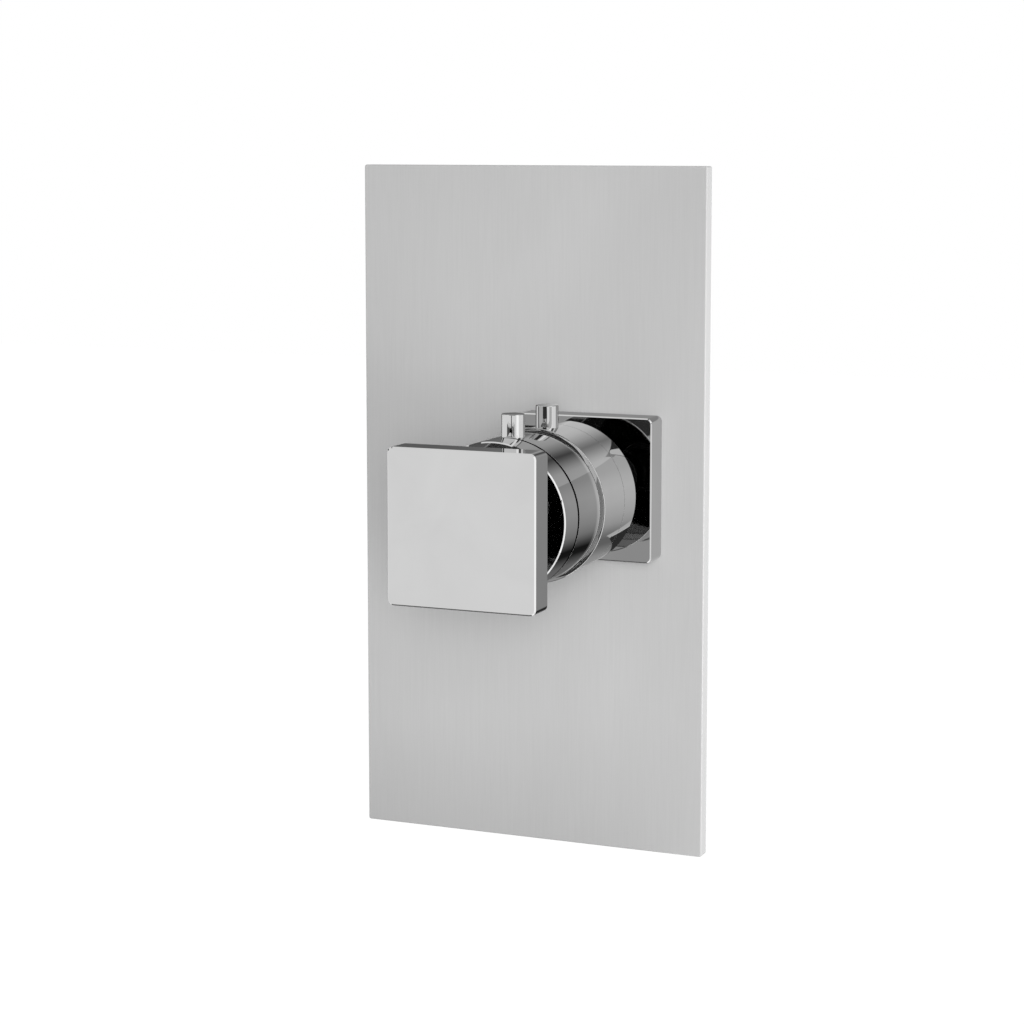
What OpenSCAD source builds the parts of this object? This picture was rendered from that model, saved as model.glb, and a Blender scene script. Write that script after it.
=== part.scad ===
// Concealed shower valve trim: an off-centre wall plate, a square rosette, and three round
// controls one behind the other on nested shafts. The front one ends in a square knob.
// The origin is on the control axis at the finished wall. The room is on the -Y side, +Z is up.

/* [Wall plate] */
// Width of the wall plate
plate_w = 129; // [126:1:160]
// Height of the wall plate
plate_h = 240; // [200:1:300]
// How far the plate's face stands off the wall
plate_depth = 5; // [4:0.5:8]
// Thickness of the sheet that the plate is folded from
plate_sheet = 2; // [1.5:0.1:2.5]
// Radius of the plate's four corners
plate_corner_r = 0.8; // [0.6:0.1:3]
// Rounding of the plate's front edge
plate_edge_r = 0.5; // [0.2:0.1:0.5]
// Plate centre from the control axis, sideways
plate_x = -23.9; // [-26:0.1:0]
// Plate centre from the control axis, upwards
plate_z = -9.5; // [-60:0.5:60]
// Width of the foam band inside the plate's rim
gasket_w = 6; // [4:0.5:7]

/* [Rosette] */
// Side of the square rosette
rosette_w = 50; // [48:1:60]
// How far the rosette stands off the plate
rosette_depth = 10.5; // [9.5:0.5:16]
// Radius of the rosette's corners
rosette_corner_r = 2; // [1:0.5:4]
// Thickness of the rosette's side walls and face
rosette_wall = 2.5; // [2:0.1:3]
// Thickness of the base that the rosette slides over
base_t = 3.5; // [3:0.1:4]
// Thickness of the flat gasket under the base
base_gasket_t = 0.6; // [0.4:0.1:1]
// Wall of the base's boss round the guide bush
boss_wall = 3; // [2:0.5:4]

/* [Controls] */
// Free length of neck between the rosette and the controls
neck_gap = 14.5; // [10:0.5:25]
// Diameter of the round controls
ring_d = 49.6; // [48:0.2:56]
// Wall of the round controls
ring_wall = 4; // [3:0.1:5]
// Thickness of the web that joins each control to its hub
web_t = 3.5; // [2.5:0.1:4.5]
// Length of the end cap behind the diverter ring
end_cap_len = 11; // [9:0.5:16]
// Floor of the end cap
end_cap_floor = 3; // [2:0.5:5]
// Length of the diverter ring
diverter_len = 20.9; // [18:0.1:30]
// How far the bead at the diverter ring's front stands out
bead_h = 1; // [0.7:0.1:1.5]
// Rounding of that bead
bead_r = 0.6; // [0.4:0.05:0.65]
// Groove between the diverter ring and the flow ring
groove_w = 1.6; // [1.2:0.1:3]
// How deep that groove is
groove_h = 0.8; // [0.4:0.1:2]
// Length of the flow ring
flow_len = 18.85; // [17:0.05:28]
// Gap between the flow ring and the temperature collar
collar_gap = 0.5; // [0.3:0.05:1]
// Length of the temperature collar
collar_len = 11.15; // [10:0.05:18]
// Rounding of the outer edges of the controls
ring_edge_r = 0.4; // [0.2:0.1:0.8]
// Wall of the hubs by which the two rings sit on their tubes
hub_wall = 5; // [4:0.5:6]
// How far the hubs stay back from the open end of their rings
hub_clearance = 1; // [0.5:0.5:2]
// Length of the end cap's spigot in the diverter ring
cap_spigot_len = 3; // [2:0.5:3]
// Wall of that spigot
cap_spigot_wall = 2; // [1.5:0.1:3]

/* [Knob] */
// Side of the square knob
knob_w = 50; // [44:1:60]
// Thickness of the square knob
knob_t = 10; // [8:0.5:14]
// Radius of the knob's corners
knob_corner_r = 2; // [1:0.5:4]
// Rounding of the knob's edges
knob_edge_r = 0.5; // [0.2:0.1:0.8]
// Free length of the stem between the collar and the knob
stem_len = 15; // [12:0.5:25]
// Diameter of the stem
stem_d = 14; // [13:0.5:16]
// Diameter of the stem's rear spigot, which goes through the collar
spigot_d = 10; // [9:0.5:11]
// Diameter of the threaded end in the knob
knob_thread_d = 8; // [6:0.5:10]
// Depth of the threaded end in the knob
knob_thread_len = 6; // [4:0.5:7]

/* [Lever pins] */
// Diameter of the two lever pins
pin_d = 7.6; // [6:0.1:9]
// How far a lever pin stands out of its ring
pin_stand = 7.25; // [5:0.25:20]
// Diameter of the threaded end of a lever pin
pin_thread_d = 5; // [4.6:0.1:5.6]
// Depth of the flat seat under a lever pin
pin_seat = 0.5; // [0.4:0.1:1]
// Rounding of a lever pin's outer edge
pin_edge_r = 0.3; // [0.1:0.1:1]
// Diverter pin's centre from the diverter ring's rear edge
diverter_pin_at = 7.5; // [7:0.1:12]
// Flow pin's centre from the flow ring's rear edge
flow_pin_at = 13.8; // [9:0.1:14.2]

/* [Shafts] */
// Diameter of the temperature spindle
spindle_d = 5; // [4:0.5:6]
// Diameter of the flow tube
flow_tube_d = 9; // [8.5:0.1:9.4]
// Diameter of the diverter tube where it shows as the neck
neck_d = 14; // [13:0.5:16]
// Step between the neck and the journal that turns in the rosette
neck_step = 0.5; // [0.3:0.1:0.8]
// Wall of the bushes between the shafts
bush_wall = 0.6; // [0.5:0.05:0.8]
// Length of the bushes between the shafts
bush_len = 10; // [6:1:12]
// Wall of the guide bush in the rosette
guide_wall = 2.5; // [2.2:0.1:3.5]
// How far the guide bush reaches behind the wall
guide_reach = 3; // [2:0.5:10]
// Length of drive end that each shaft shows behind the wall
drive_len = 12; // [8:1:20]
// Width of the drive slots across the ends of the two tubes
drive_slot_w = 2.4; // [2:0.2:3]
// Depth of the drive slots along the tubes
drive_slot_len = 3; // [2:0.5:5]
// Length of the flat on the temperature spindle's end
drive_flat_len = 5; // [3:0.5:5.5]
// Depth of that flat
drive_flat_h = 0.5; // [0.3:0.1:0.6]

/* [Fixings] */
// Diameter of the screws that hold the base to the valve
screw_d = 4; // [3.5:0.5:5]
// Circle on which those screws lie
screw_pcd = 41; // [40:0.5:44]
// How far those screws reach behind the wall
screw_reach = 20; // [10:1:40]
// Diameter of their countersunk heads
screw_head_d = 7.4; // [7:0.1:8]
// Diameter of the grub screws in the controls
grub_d = 4; // [3:0.5:4]
// Diameter of the grub screw that holds the rosette
cover_grub_d = 3; // [2.5:0.5:3]
// Thickness of the retaining clips
clip_t = 1; // [0.8:0.1:1.2]
// Depth of a retaining clip's groove
clip_groove = 0.4; // [0.3:0.05:0.5]
// Radial width of the retaining clips
clip_h = 1.6; // [1.2:0.1:1.7]
// Thickness of the nut behind the collar
nut_t = 4; // [3:0.5:5]
// Width across the corners of that nut
nut_d = 19; // [17:0.5:22]
// Depth of the dimple that the rosette's grub screw presses into
grub_dimple = 1; // [0.5:0.1:1.5]

/* [Seals and washers] */
// Section of the sealing ring round the neck
neck_seal_d = 1.8; // [1.6:0.1:2]
// How far that sealing ring lies behind the rosette's face
neck_seal_depth = 4; // [3:0.5:6]
// Section of the sealing rings between the shafts
shaft_seal_d = 1; // [0.9:0.05:1]
// How far those sealing rings lie behind the front bushes
shaft_seal_depth = 2; // [1.5:0.5:6]
// Thickness and height of the front bushes' flanges
bush_flange = 0.5; // [0.4:0.1:0.6]
// Thickness of the thrust washer behind the stem
washer_t = 1; // [0.6:0.1:1.5]

/* [Fits] */
// Radial gap where a shaft turns in a bush
running_gap = 0.05; // [0.02:0.01:0.08]
// Radial gap where a shaft or screw is held fast
seat_gap = 0.02; // [0.01:0.01:0.05]
// End play between pieces that turn on each other
end_play = 0.1; // [0.05:0.05:0.2]
// Gap between pieces that never touch
free_gap = 0.3; // [0.2:0.05:0.5]

/* [Hidden] */
$fn = 96;

// Places along the control axis, as distances from the wall into the room.
rosette_back = plate_depth;
rosette_front = rosette_back + rosette_depth;
controls_back = rosette_front + neck_gap;
diverter_back = controls_back + end_cap_len;
diverter_front = diverter_back + diverter_len;
flow_back = diverter_front + groove_w;
flow_front = flow_back + flow_len;
collar_back = flow_front + collar_gap;
collar_front = collar_back + collar_len;
knob_back = collar_front + stem_len;
knob_front = knob_back + knob_t;

// Radii of the shafts, from the inside out.
spindle_r = spindle_d / 2;
flow_tube_bore_r = spindle_r + running_gap + bush_wall;
flow_tube_r = flow_tube_d / 2;
diverter_tube_bore_r = flow_tube_r + running_gap + bush_wall;
neck_r = neck_d / 2;
journal_r = neck_r - neck_step;
guide_bore_r = journal_r + running_gap;
guide_r = guide_bore_r + guide_wall;
boss_r = guide_r + seat_gap + boss_wall;

// Shared shapes of the round controls.
ring_r = ring_d / 2;
cavity_r = ring_r - ring_wall;
diverter_hub_r = neck_r + hub_wall;
flow_hub_r = flow_tube_r + hub_wall;
spigot_r = spigot_d / 2;
stem_r = stem_d / 2;

// Ends of the tubes in the controls, and of the drive ends behind the wall.
clip_slot_w = clip_t + end_play;
diverter_tube_front = diverter_front - bush_flange;
diverter_clip_at = -guide_reach - end_play;
diverter_tube_back = diverter_clip_at - clip_slot_w - drive_len;
flow_hub_front = flow_front - hub_clearance;
flow_tube_front = flow_hub_front - bush_flange;
flow_clip_at = diverter_tube_back - end_play;
flow_tube_back = flow_clip_at - clip_slot_w - drive_len;
spindle_clip_at = flow_tube_back - end_play;
spindle_back = spindle_clip_at - clip_slot_w - drive_len;
spigot_back = flow_hub_front + washer_t + 2 * end_play;
spindle_front = collar_front + 0.6 * stem_len;
bore_end_gap = 1;
flow_seal_at = diverter_tube_front - bush_len - shaft_seal_depth;
spindle_seal_at = flow_tube_front - bush_len - shaft_seal_depth;

// The rosette's base and what holds it.
base_back = rosette_back + base_gasket_t;
base_front = base_back + base_t;
base_w = rosette_w - 2 * rosette_wall - 2 * free_gap;
boss_front = rosette_front - rosette_wall - end_play;
screw_r = screw_d / 2;
screw_neck_r = screw_r - 0.2;
screw_hole_r = screw_r + 0.25;
screw_head_r = screw_head_d / 2;
screw_head_t = screw_head_r - screw_neck_r;
screw_angles = [45, 135, 225, 315];
plate_hole_r = boss_r + 0.7;
grub_r = grub_d / 2;
cover_grub_r = cover_grub_d / 2;
cover_grub_at = base_back + base_t / 2;

// Seals between the shafts.
neck_seal_r = neck_seal_d / 2;
shaft_seal_r = shaft_seal_d / 2;
neck_seal_at = rosette_front - neck_seal_depth;

// Extra length of a cutting shape past the face that it cuts.
over = 1;

CHROME = "gainsboro";
SATIN = "silver";
BRASS = "darkkhaki";
STEEL = "slategray";
PLASTIC = "dimgray";
RUBBER = "black";

// Turns a shape built along +Z so that it points from the wall into the room.
module outward() {
    rotate([90, 0, 0]) children();
}

// Places a shape built along +Z so that it points up from the axis, a distance along it.
module upward(at) {
    translate([0, 0, at]) rotate([-90, 0, 0]) children();
}

// Places a shape built along +Z so that it points down from the axis, a distance along it.
module downward(at) {
    translate([0, 0, at]) rotate([90, 0, 0]) children();
}

// A plain tube from one place on the axis to another.
module tube(r_in, r_out, from, to) {
    difference() {
        translate([0, 0, from]) cylinder(h = to - from, r = r_out);
        translate([0, 0, from - over]) cylinder(h = to - from + 2 * over, r = r_in);
    }
}

// A round bar or hole along the axis from one place to another.
module bore(r, from, to) {
    translate([0, 0, from]) cylinder(h = to - from, r = r);
}

// Half section of what a boring tool takes out of a turned piece.
module pocket(r_in, r_out, from, to) {
    translate([r_in, from]) square([r_out - r_in, to - from]);
}

// What a rounding of radius e takes off a square corner that lies at the origin.
module corner_bite(e) {
    difference() {
        translate([-e, -e]) square(e + over);
        translate([-e, -e]) circle(e);
    }
}

// Half section of a turned piece whose outer corners can be rounded.
module section(r_in, r_out, from, to, back_e = 0, front_e = 0) {
    difference() {
        translate([r_in, from]) square([r_out - r_in, to - from]);
        if (front_e > 0) translate([r_out, to]) corner_bite(front_e);
        if (back_e > 0) translate([r_out, from]) mirror([0, 1]) corner_bite(back_e);
    }
}

module rounded_rectangle(w, h, r) {
    square([w - 2 * r, h], center = true);
    square([w, h - 2 * r], center = true);
    for (x = [-1, 1], y = [-1, 1]) translate([x * (w / 2 - r), y * (h / 2 - r)]) circle(r);
}

// What a rounding of radius e takes off the top edge of a rounded slab whose top is at zero.
module edge_bite(w, h, r, e) {
    for (side = [[w, h, 0], [h, w, 90], [w, h, 180], [h, w, 270]]) rotate([0, 0, side[2]]) {
        translate([side[0] / 2, 0, 0]) rotate([90, 0, 0])
            linear_extrude(side[1] - 2 * r, center = true) corner_bite(e);
        translate([side[0] / 2 - r, side[1] / 2 - r, 0])
            rotate_extrude(angle = 90) translate([r, 0]) corner_bite(e);
    }
}

// A flat rounded block between two places on the axis, with its front edge rounded.
module block(w, h, r, from, to, e) {
    difference() {
        translate([0, 0, from]) linear_extrude(to - from) rounded_rectangle(w, h, r);
        translate([0, 0, to]) edge_bite(w, h, r, e);
    }
}

// Puts its children at each screw of the base.
module at_screws() {
    for (a = screw_angles) rotate([0, 0, a]) translate([screw_pcd / 2, 0, 0]) children();
}

// A grub screw of radius r with a hexagon socket. It starts at r_from and its point is at r_to.
module grub_screw(r, r_from, r_to) {
    point = 0.3 * r;
    outline = [[0, r_to], [r - point, r_to], [r, r_to + point], [r, r_from], [0, r_from]];
    difference() {
        rotate_extrude() polygon(outline);
        translate([0, 0, r_from - r]) cylinder(h = r + over, r = 0.58 * r, $fn = 6);
    }
}

// An open retaining clip in a groove whose floor has radius r. The clip's front is at the place.
module circlip(r, at) {
    opening = 50;
    translate([0, 0, at - clip_t]) rotate([0, 0, 90 + opening / 2])
        rotate_extrude(angle = 360 - opening) translate([r + seat_gap, 0]) square([clip_h, clip_t]);
}

// The groove that holds such a clip on a shaft of radius r.
module clip_slot(r, at) {
    tube(r - clip_groove, r + over, at - clip_slot_w, at);
}

// A round sealing ring in its groove.
module oring(ring_centre_r, section_r, at) {
    rotate_extrude() translate([ring_centre_r, at]) circle(section_r, $fn = 32);
}

// A thin plain bush with a flange at its front end.
module flanged_bush(shaft_r, housing_r, front) {
    bore_r = shaft_r + running_gap;
    tube(bore_r, housing_r - seat_gap, front - bush_len, front + bush_flange / 2);
    tube(bore_r, housing_r + bush_flange, front, front + bush_flange - end_play / 2);
}

// Two slots across the end of a tube, which a coupling's dogs engage.
module drive_slots(r, back) {
    for (a = [0, 90]) rotate([0, 0, a])
        translate([-r - over, -drive_slot_w / 2, back - over])
            cube([2 * (r + over), drive_slot_w, drive_slot_len + over]);
}

// A lever pin with a threaded end, standing on a flat seat in a ring of radius ring_r.
module lever_pin() {
    top = ring_r + pin_stand;
    thread_end = cavity_r + free_gap;
    rotate_extrude() {
        section(0, pin_d / 2, ring_r - pin_seat, top, 0, pin_edge_r);
        section(0, pin_thread_d / 2, thread_end, ring_r);
    }
}

// What a lever pin takes out of its ring: a flat seat and a threaded hole.
module lever_pin_hole() {
    translate([0, 0, ring_r - pin_seat]) cylinder(h = pin_seat + over, r = pin_d / 2 + seat_gap);
    translate([0, 0, cavity_r - over])
        cylinder(h = ring_wall + over, r = pin_thread_d / 2 + seat_gap);
}

// A threaded hole for a grub screw in a hub, from its bore to its outside.
module hub_grub_hole(hub_r) {
    cylinder(h = hub_r + over, r = grub_r + seat_gap);
}

// A folded tray, open to the wall, with a hole for the base and four for its screws.
module wall_plate() {
    color(SATIN) outward() difference() {
        translate([plate_x, plate_z, 0])
            block(plate_w, plate_h, plate_corner_r, 0, plate_depth, plate_edge_r);
        translate([plate_x, plate_z, -over])
            linear_extrude(plate_depth - plate_sheet + over)
                square([plate_w - 2 * plate_sheet, plate_h - 2 * plate_sheet], center = true);
        bore(plate_hole_r, 0, plate_depth + over);
        at_screws() bore(screw_hole_r, 0, plate_depth + over);
    }
}

// A foam band round the inside of the plate's rim.
module plate_gasket() {
    outer_w = plate_w - 2 * plate_sheet - 2 * free_gap;
    outer_h = plate_h - 2 * plate_sheet - 2 * free_gap;
    color(RUBBER) outward() translate([plate_x, plate_z, 0])
        linear_extrude(plate_depth - plate_sheet) difference() {
            square([outer_w, outer_h], center = true);
            square([outer_w - 2 * gasket_w, outer_h - 2 * gasket_w], center = true);
        }
}

// A ring that seals the hole in the wall round the valve.
module valve_seal() {
    rim = screw_head_r + 0.5;
    color(RUBBER) outward() difference() {
        tube(plate_hole_r, screw_pcd / 2 + rim, 0, plate_depth - plate_sheet);
        at_screws() bore(screw_hole_r, -over, plate_depth);
    }
}

// The square carrier that the screws clamp to the valve, with a boss for the guide bush.
module rosette_base() {
    color(BRASS) outward() difference() {
        union() {
            translate([0, 0, base_back]) linear_extrude(base_t)
                rounded_rectangle(base_w, base_w, rosette_corner_r);
            bore(boss_r, -guide_reach, boss_front);
        }
        bore(guide_r + seat_gap, -guide_reach - over, boss_front + over);
        at_screws() {
            bore(screw_hole_r, 0, base_front + over);
            translate([0, 0, base_front - screw_head_t])
                cylinder(h = screw_head_t + over, r1 = screw_hole_r,
                    r2 = screw_hole_r + screw_head_t + over);
        }
        downward(cover_grub_at) translate([0, 0, base_w / 2 - grub_dimple])
            cylinder(h = grub_dimple + over, r = cover_grub_r + seat_gap);
    }
}

// A flat gasket between the base and the plate.
module base_gasket() {
    color(RUBBER) outward() difference() {
        translate([0, 0, rosette_back]) linear_extrude(base_gasket_t)
            rounded_rectangle(base_w, base_w, rosette_corner_r);
        bore(plate_hole_r, 0, base_back + over);
        at_screws() bore(screw_hole_r, 0, base_back + over);
    }
}

// Four countersunk screws that thread into the valve behind the wall.
module base_screws() {
    color(STEEL) outward() at_screws() difference() {
        union() {
            translate([0, 0, base_front - screw_head_t])
                cylinder(h = screw_head_t, r1 = screw_neck_r, r2 = screw_head_r);
            bore(screw_neck_r, -over, base_front - screw_head_t / 2);
            bore(screw_r, -screw_reach, 0);
        }
        translate([0, 0, base_front - 0.7 * screw_head_t])
            cylinder(h = screw_head_t, r = 0.6 * screw_r, $fn = 6);
    }
}

// The square cover that slides over the base and hides the screws.
module rosette() {
    inner_w = rosette_w - 2 * rosette_wall;
    color(CHROME) outward() difference() {
        block(rosette_w, rosette_w, rosette_corner_r, rosette_back, rosette_front, ring_edge_r);
        translate([0, 0, rosette_back - over])
            linear_extrude(rosette_depth - rosette_wall + over)
                rounded_rectangle(inner_w, inner_w, rosette_corner_r / 2);
        bore(guide_r + free_gap, rosette_back, rosette_front + over);
        downward(cover_grub_at) cylinder(h = rosette_w, r = cover_grub_r + seat_gap);
    }
}

module rosette_grub_screw() {
    color(STEEL) outward() downward(cover_grub_at)
        grub_screw(cover_grub_r, rosette_w / 2 - free_gap, base_w / 2 - grub_dimple);
}

// The plastic bearing that the diverter tube's journal turns in.
module guide_bush() {
    color(PLASTIC) outward() difference() {
        tube(guide_bore_r, guide_r, -guide_reach, rosette_front);
        rotate_extrude() translate([0, neck_seal_at - neck_seal_r - free_gap])
            square([guide_bore_r + 2 * neck_seal_r, 2 * (neck_seal_r + free_gap)]);
    }
}

module neck_oring() {
    color(RUBBER) outward() oring(guide_bore_r + neck_seal_r, neck_seal_r, neck_seal_at);
}

// The outer shaft. It shows as the neck, and its thinner journal turns in the guide bush.
module diverter_tube() {
    color(CHROME) outward() difference() {
        union() {
            bore(neck_r, rosette_front + end_play, diverter_tube_front);
            bore(journal_r, diverter_tube_back, rosette_front + neck_gap / 2);
        }
        bore(diverter_tube_bore_r, diverter_tube_back - over, diverter_tube_front + over);
        clip_slot(journal_r, diverter_clip_at);
        drive_slots(journal_r, diverter_tube_back);
    }
}

// A cup that opens backwards, with a bead round its front edge and a hub on the outer shaft.
module diverter_ring() {
    hub_back = diverter_back + cap_spigot_len + hub_clearance;
    bead_centre_r = ring_r + bead_h - bead_r;
    color(CHROME) outward() difference() {
        rotate_extrude() difference() {
            union() {
                section(neck_r + seat_gap, ring_r, diverter_back, diverter_front - bead_r);
                section(neck_r + seat_gap, bead_centre_r, diverter_front - 2 * bead_r, diverter_front);
                translate([bead_centre_r, diverter_front - bead_r]) circle(bead_r, $fn = 48);
            }
            pocket(0, cavity_r, diverter_back - over, hub_back);
            pocket(diverter_hub_r, cavity_r, hub_back - over, diverter_front - web_t);
        }
        upward(diverter_back + diverter_pin_at) {
            lever_pin_hole();
            hub_grub_hole(diverter_hub_r);
        }
    }
}

// The cover of the diverter ring's open rear end, pressed into it by a spigot.
module diverter_end_cap() {
    spigot_front = diverter_back + cap_spigot_len;
    color(CHROME) outward() rotate_extrude() difference() {
        union() {
            section(neck_r + seat_gap, ring_r, controls_back, diverter_back, ring_edge_r, 0);
            section(neck_r + seat_gap, cavity_r - seat_gap, diverter_back - over, spigot_front);
        }
        pocket(0, cavity_r - cap_spigot_wall, controls_back + end_cap_floor, spigot_front + over);
    }
}

module diverter_pin() {
    color(CHROME) outward() upward(diverter_back + diverter_pin_at) lever_pin();
}

module diverter_grub_screw() {
    color(STEEL) outward() upward(diverter_back + diverter_pin_at)
        grub_screw(grub_r, diverter_hub_r, neck_r + seat_gap);
}

module diverter_circlip() {
    color(STEEL) outward() circlip(journal_r - clip_groove, diverter_clip_at);
}

module flow_bush_front() {
    color(PLASTIC) outward() flanged_bush(flow_tube_r, diverter_tube_bore_r, diverter_tube_front);
}

module flow_bush_rear() {
    rear = diverter_tube_back + drive_slot_len;
    color(PLASTIC) outward()
        tube(flow_tube_r + running_gap, diverter_tube_bore_r - seat_gap, rear, rear + bush_len);
}

// The plastic washer at the bottom of the groove between the two rings.
module ring_glide_washer() {
    color(PLASTIC) outward()
        tube(flow_tube_r + free_gap, ring_r - groove_h, diverter_front, flow_back - end_play);
}

// The middle shaft, inside the diverter tube.
module flow_tube() {
    color(BRASS) outward() difference() {
        bore(flow_tube_r, flow_tube_back, flow_tube_front);
        bore(flow_tube_bore_r, flow_tube_back - over, flow_tube_front + over);
        clip_slot(flow_tube_r, flow_clip_at);
        tube(flow_tube_r - clip_groove, flow_tube_r + over, flow_seal_at - shaft_seal_r - free_gap,
            flow_seal_at + shaft_seal_r + free_gap);
        drive_slots(flow_tube_r, flow_tube_back);
    }
}

// A cup that opens forwards, with a hub on the middle shaft.
module flow_ring() {
    color(CHROME) outward() difference() {
        rotate_extrude() difference() {
            section(flow_tube_r + seat_gap, ring_r, flow_back, flow_front, ring_edge_r, 0);
            pocket(flow_hub_r, cavity_r, flow_back + web_t, flow_front + over);
            pocket(0, cavity_r, flow_hub_front, flow_front + over);
        }
        upward(flow_back + flow_pin_at) {
            lever_pin_hole();
            hub_grub_hole(flow_hub_r);
        }
    }
}

module flow_pin() {
    color(CHROME) outward() upward(flow_back + flow_pin_at) lever_pin();
}

module flow_grub_screw() {
    color(STEEL) outward() upward(flow_back + flow_pin_at)
        grub_screw(grub_r, flow_hub_r, flow_tube_r + seat_gap);
}

module flow_circlip() {
    color(STEEL) outward() circlip(flow_tube_r - clip_groove, flow_clip_at);
}

module flow_oring() {
    color(RUBBER) outward()
        oring(diverter_tube_bore_r - running_gap - shaft_seal_r, shaft_seal_r, flow_seal_at);
}

module spindle_bush_front() {
    color(PLASTIC) outward() flanged_bush(spindle_r, flow_tube_bore_r, flow_tube_front);
}

module spindle_bush_rear() {
    rear = flow_tube_back + drive_slot_len;
    color(PLASTIC) outward()
        tube(spindle_r + running_gap, flow_tube_bore_r - seat_gap, rear, rear + bush_len);
}

// The innermost shaft, which the stem's grub screw clamps. A flat drives the valve.
module temperature_spindle() {
    color(STEEL) outward() difference() {
        bore(spindle_r, spindle_back, spindle_front);
        clip_slot(spindle_r, spindle_clip_at);
        tube(spindle_r - clip_groove, spindle_r + over, spindle_seal_at - shaft_seal_r - free_gap,
            spindle_seal_at + shaft_seal_r + free_gap);
        translate([-spindle_r, spindle_r - drive_flat_h, spindle_back - over])
            cube([2 * spindle_r, spindle_r, drive_flat_len + over]);
    }
}

// A cup that opens backwards. The stem's spigot goes through its front wall.
module temperature_collar() {
    color(CHROME) outward() rotate_extrude() difference() {
        section(spigot_r + seat_gap, ring_r, collar_back, collar_front, 0, ring_edge_r);
        pocket(0, cavity_r, collar_back - over, collar_front - web_t);
    }
}

// The hexagon nut that clamps the collar against the stem's shoulder.
module collar_nut() {
    nut_back = collar_front - web_t - nut_t;
    color(BRASS) outward() difference() {
        translate([0, 0, nut_back]) cylinder(h = nut_t, r = nut_d / 2, $fn = 6);
        bore(spigot_r + seat_gap, nut_back - over, nut_back + nut_t + over);
    }
}

// The turned stem between the collar and the knob, bored for the spindle.
module knob_stem() {
    color(CHROME) outward() difference() {
        union() {
            bore(spigot_r, spigot_back, collar_front + over);
            bore(stem_r, collar_front, knob_back);
            bore(knob_thread_d / 2, knob_back - over, knob_back + knob_thread_len);
        }
        bore(spindle_r + seat_gap, spigot_back - over, spindle_front + bore_end_gap);
        downward(collar_front + stem_len / 3) cylinder(h = stem_r + over, r = grub_r + seat_gap);
    }
}

// The square knob, screwed onto the stem from behind so that its face stays plain.
module knob_head() {
    color(CHROME) outward() difference() {
        block(knob_w, knob_w, knob_corner_r, knob_back, knob_front, knob_edge_r);
        translate([0, 0, knob_back]) mirror([0, 0, 1])
            edge_bite(knob_w, knob_w, knob_corner_r, knob_edge_r);
        bore(knob_thread_d / 2 + seat_gap, knob_back - over, knob_back + knob_thread_len + free_gap);
    }
}

module stem_grub_screw() {
    color(STEEL) outward() downward(collar_front + stem_len / 3)
        grub_screw(grub_r, stem_r - free_gap, spindle_r + seat_gap);
}

module spindle_circlip() {
    color(STEEL) outward() circlip(spindle_r - clip_groove, spindle_clip_at);
}

module spindle_oring() {
    color(RUBBER) outward()
        oring(flow_tube_bore_r - running_gap - shaft_seal_r, shaft_seal_r, spindle_seal_at);
}

// A plastic washer that takes the push on the knob.
module thrust_washer() {
    color(PLASTIC) outward()
        tube(spindle_r + free_gap, flow_hub_r, spigot_back - washer_t, spigot_back);
}

wall_plate();
plate_gasket();
valve_seal();
rosette_base();
base_gasket();
base_screws();
rosette();
rosette_grub_screw();
guide_bush();
neck_oring();
diverter_tube();
diverter_ring();
diverter_end_cap();
diverter_pin();
diverter_grub_screw();
diverter_circlip();
flow_bush_front();
flow_bush_rear();
ring_glide_washer();
flow_tube();
flow_ring();
flow_pin();
flow_grub_screw();
flow_circlip();
flow_oring();
spindle_bush_front();
spindle_bush_rear();
temperature_spindle();
temperature_collar();
collar_nut();
knob_stem();
knob_head();
stem_grub_screw();
spindle_circlip();
spindle_oring();
thrust_washer();
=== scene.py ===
"""Shower trim set: a satin wall plate, a square rosette and three round chrome controls.

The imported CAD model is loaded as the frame. Each sub-assembly is a class that holds its sizes in
millimetres, builds its pieces along a local axis and puts them where the CAD nodes are. The
control axis runs along -Y from the wall at the origin, and +Z is up.
"""

from __future__ import annotations

import logging
import math
from dataclasses import dataclass
from enum import Enum
from typing import Iterable, Sequence

import bmesh
import bpy
from mathutils import Matrix, Vector

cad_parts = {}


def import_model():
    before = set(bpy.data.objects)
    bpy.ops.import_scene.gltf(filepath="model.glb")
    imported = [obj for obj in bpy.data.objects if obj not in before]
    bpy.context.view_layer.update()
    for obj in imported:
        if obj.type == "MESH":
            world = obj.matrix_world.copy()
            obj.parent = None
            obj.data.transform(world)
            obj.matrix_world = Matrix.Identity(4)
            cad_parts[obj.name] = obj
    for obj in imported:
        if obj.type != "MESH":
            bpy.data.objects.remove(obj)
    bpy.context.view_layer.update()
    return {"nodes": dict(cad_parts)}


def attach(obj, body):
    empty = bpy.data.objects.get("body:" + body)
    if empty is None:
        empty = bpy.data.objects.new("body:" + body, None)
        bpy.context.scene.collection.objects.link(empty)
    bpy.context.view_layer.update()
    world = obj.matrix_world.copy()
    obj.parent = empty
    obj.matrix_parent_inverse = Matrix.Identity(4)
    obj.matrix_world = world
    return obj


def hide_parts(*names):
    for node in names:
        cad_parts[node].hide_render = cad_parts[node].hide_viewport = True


LOG = logging.getLogger("shower_trim")

# Short names of the types that most functions take.
Shape = bmesh.types.BMesh
Socket = bpy.types.NodeSocket
Tree = bpy.types.NodeTree
Pair = tuple[float, float]
Triple = tuple[float, float, float]

# One millimetre in the frame's metres.
MM = 0.001
# Steps of a full turn: of rings, of stem and bearings, of small pieces, of thin shafts, of screws
# and their holes, of lugs, and of a thread.
RING_STEPS = 256
ROUND_STEPS = 128
SMALL_STEPS = 96
THIN_STEPS = 64
SCREW_STEPS = 48
LUG_STEPS = 32
THREAD_STEPS = 24
# Sides of a socket for a hexagon key.
HEXAGON = 6
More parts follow.
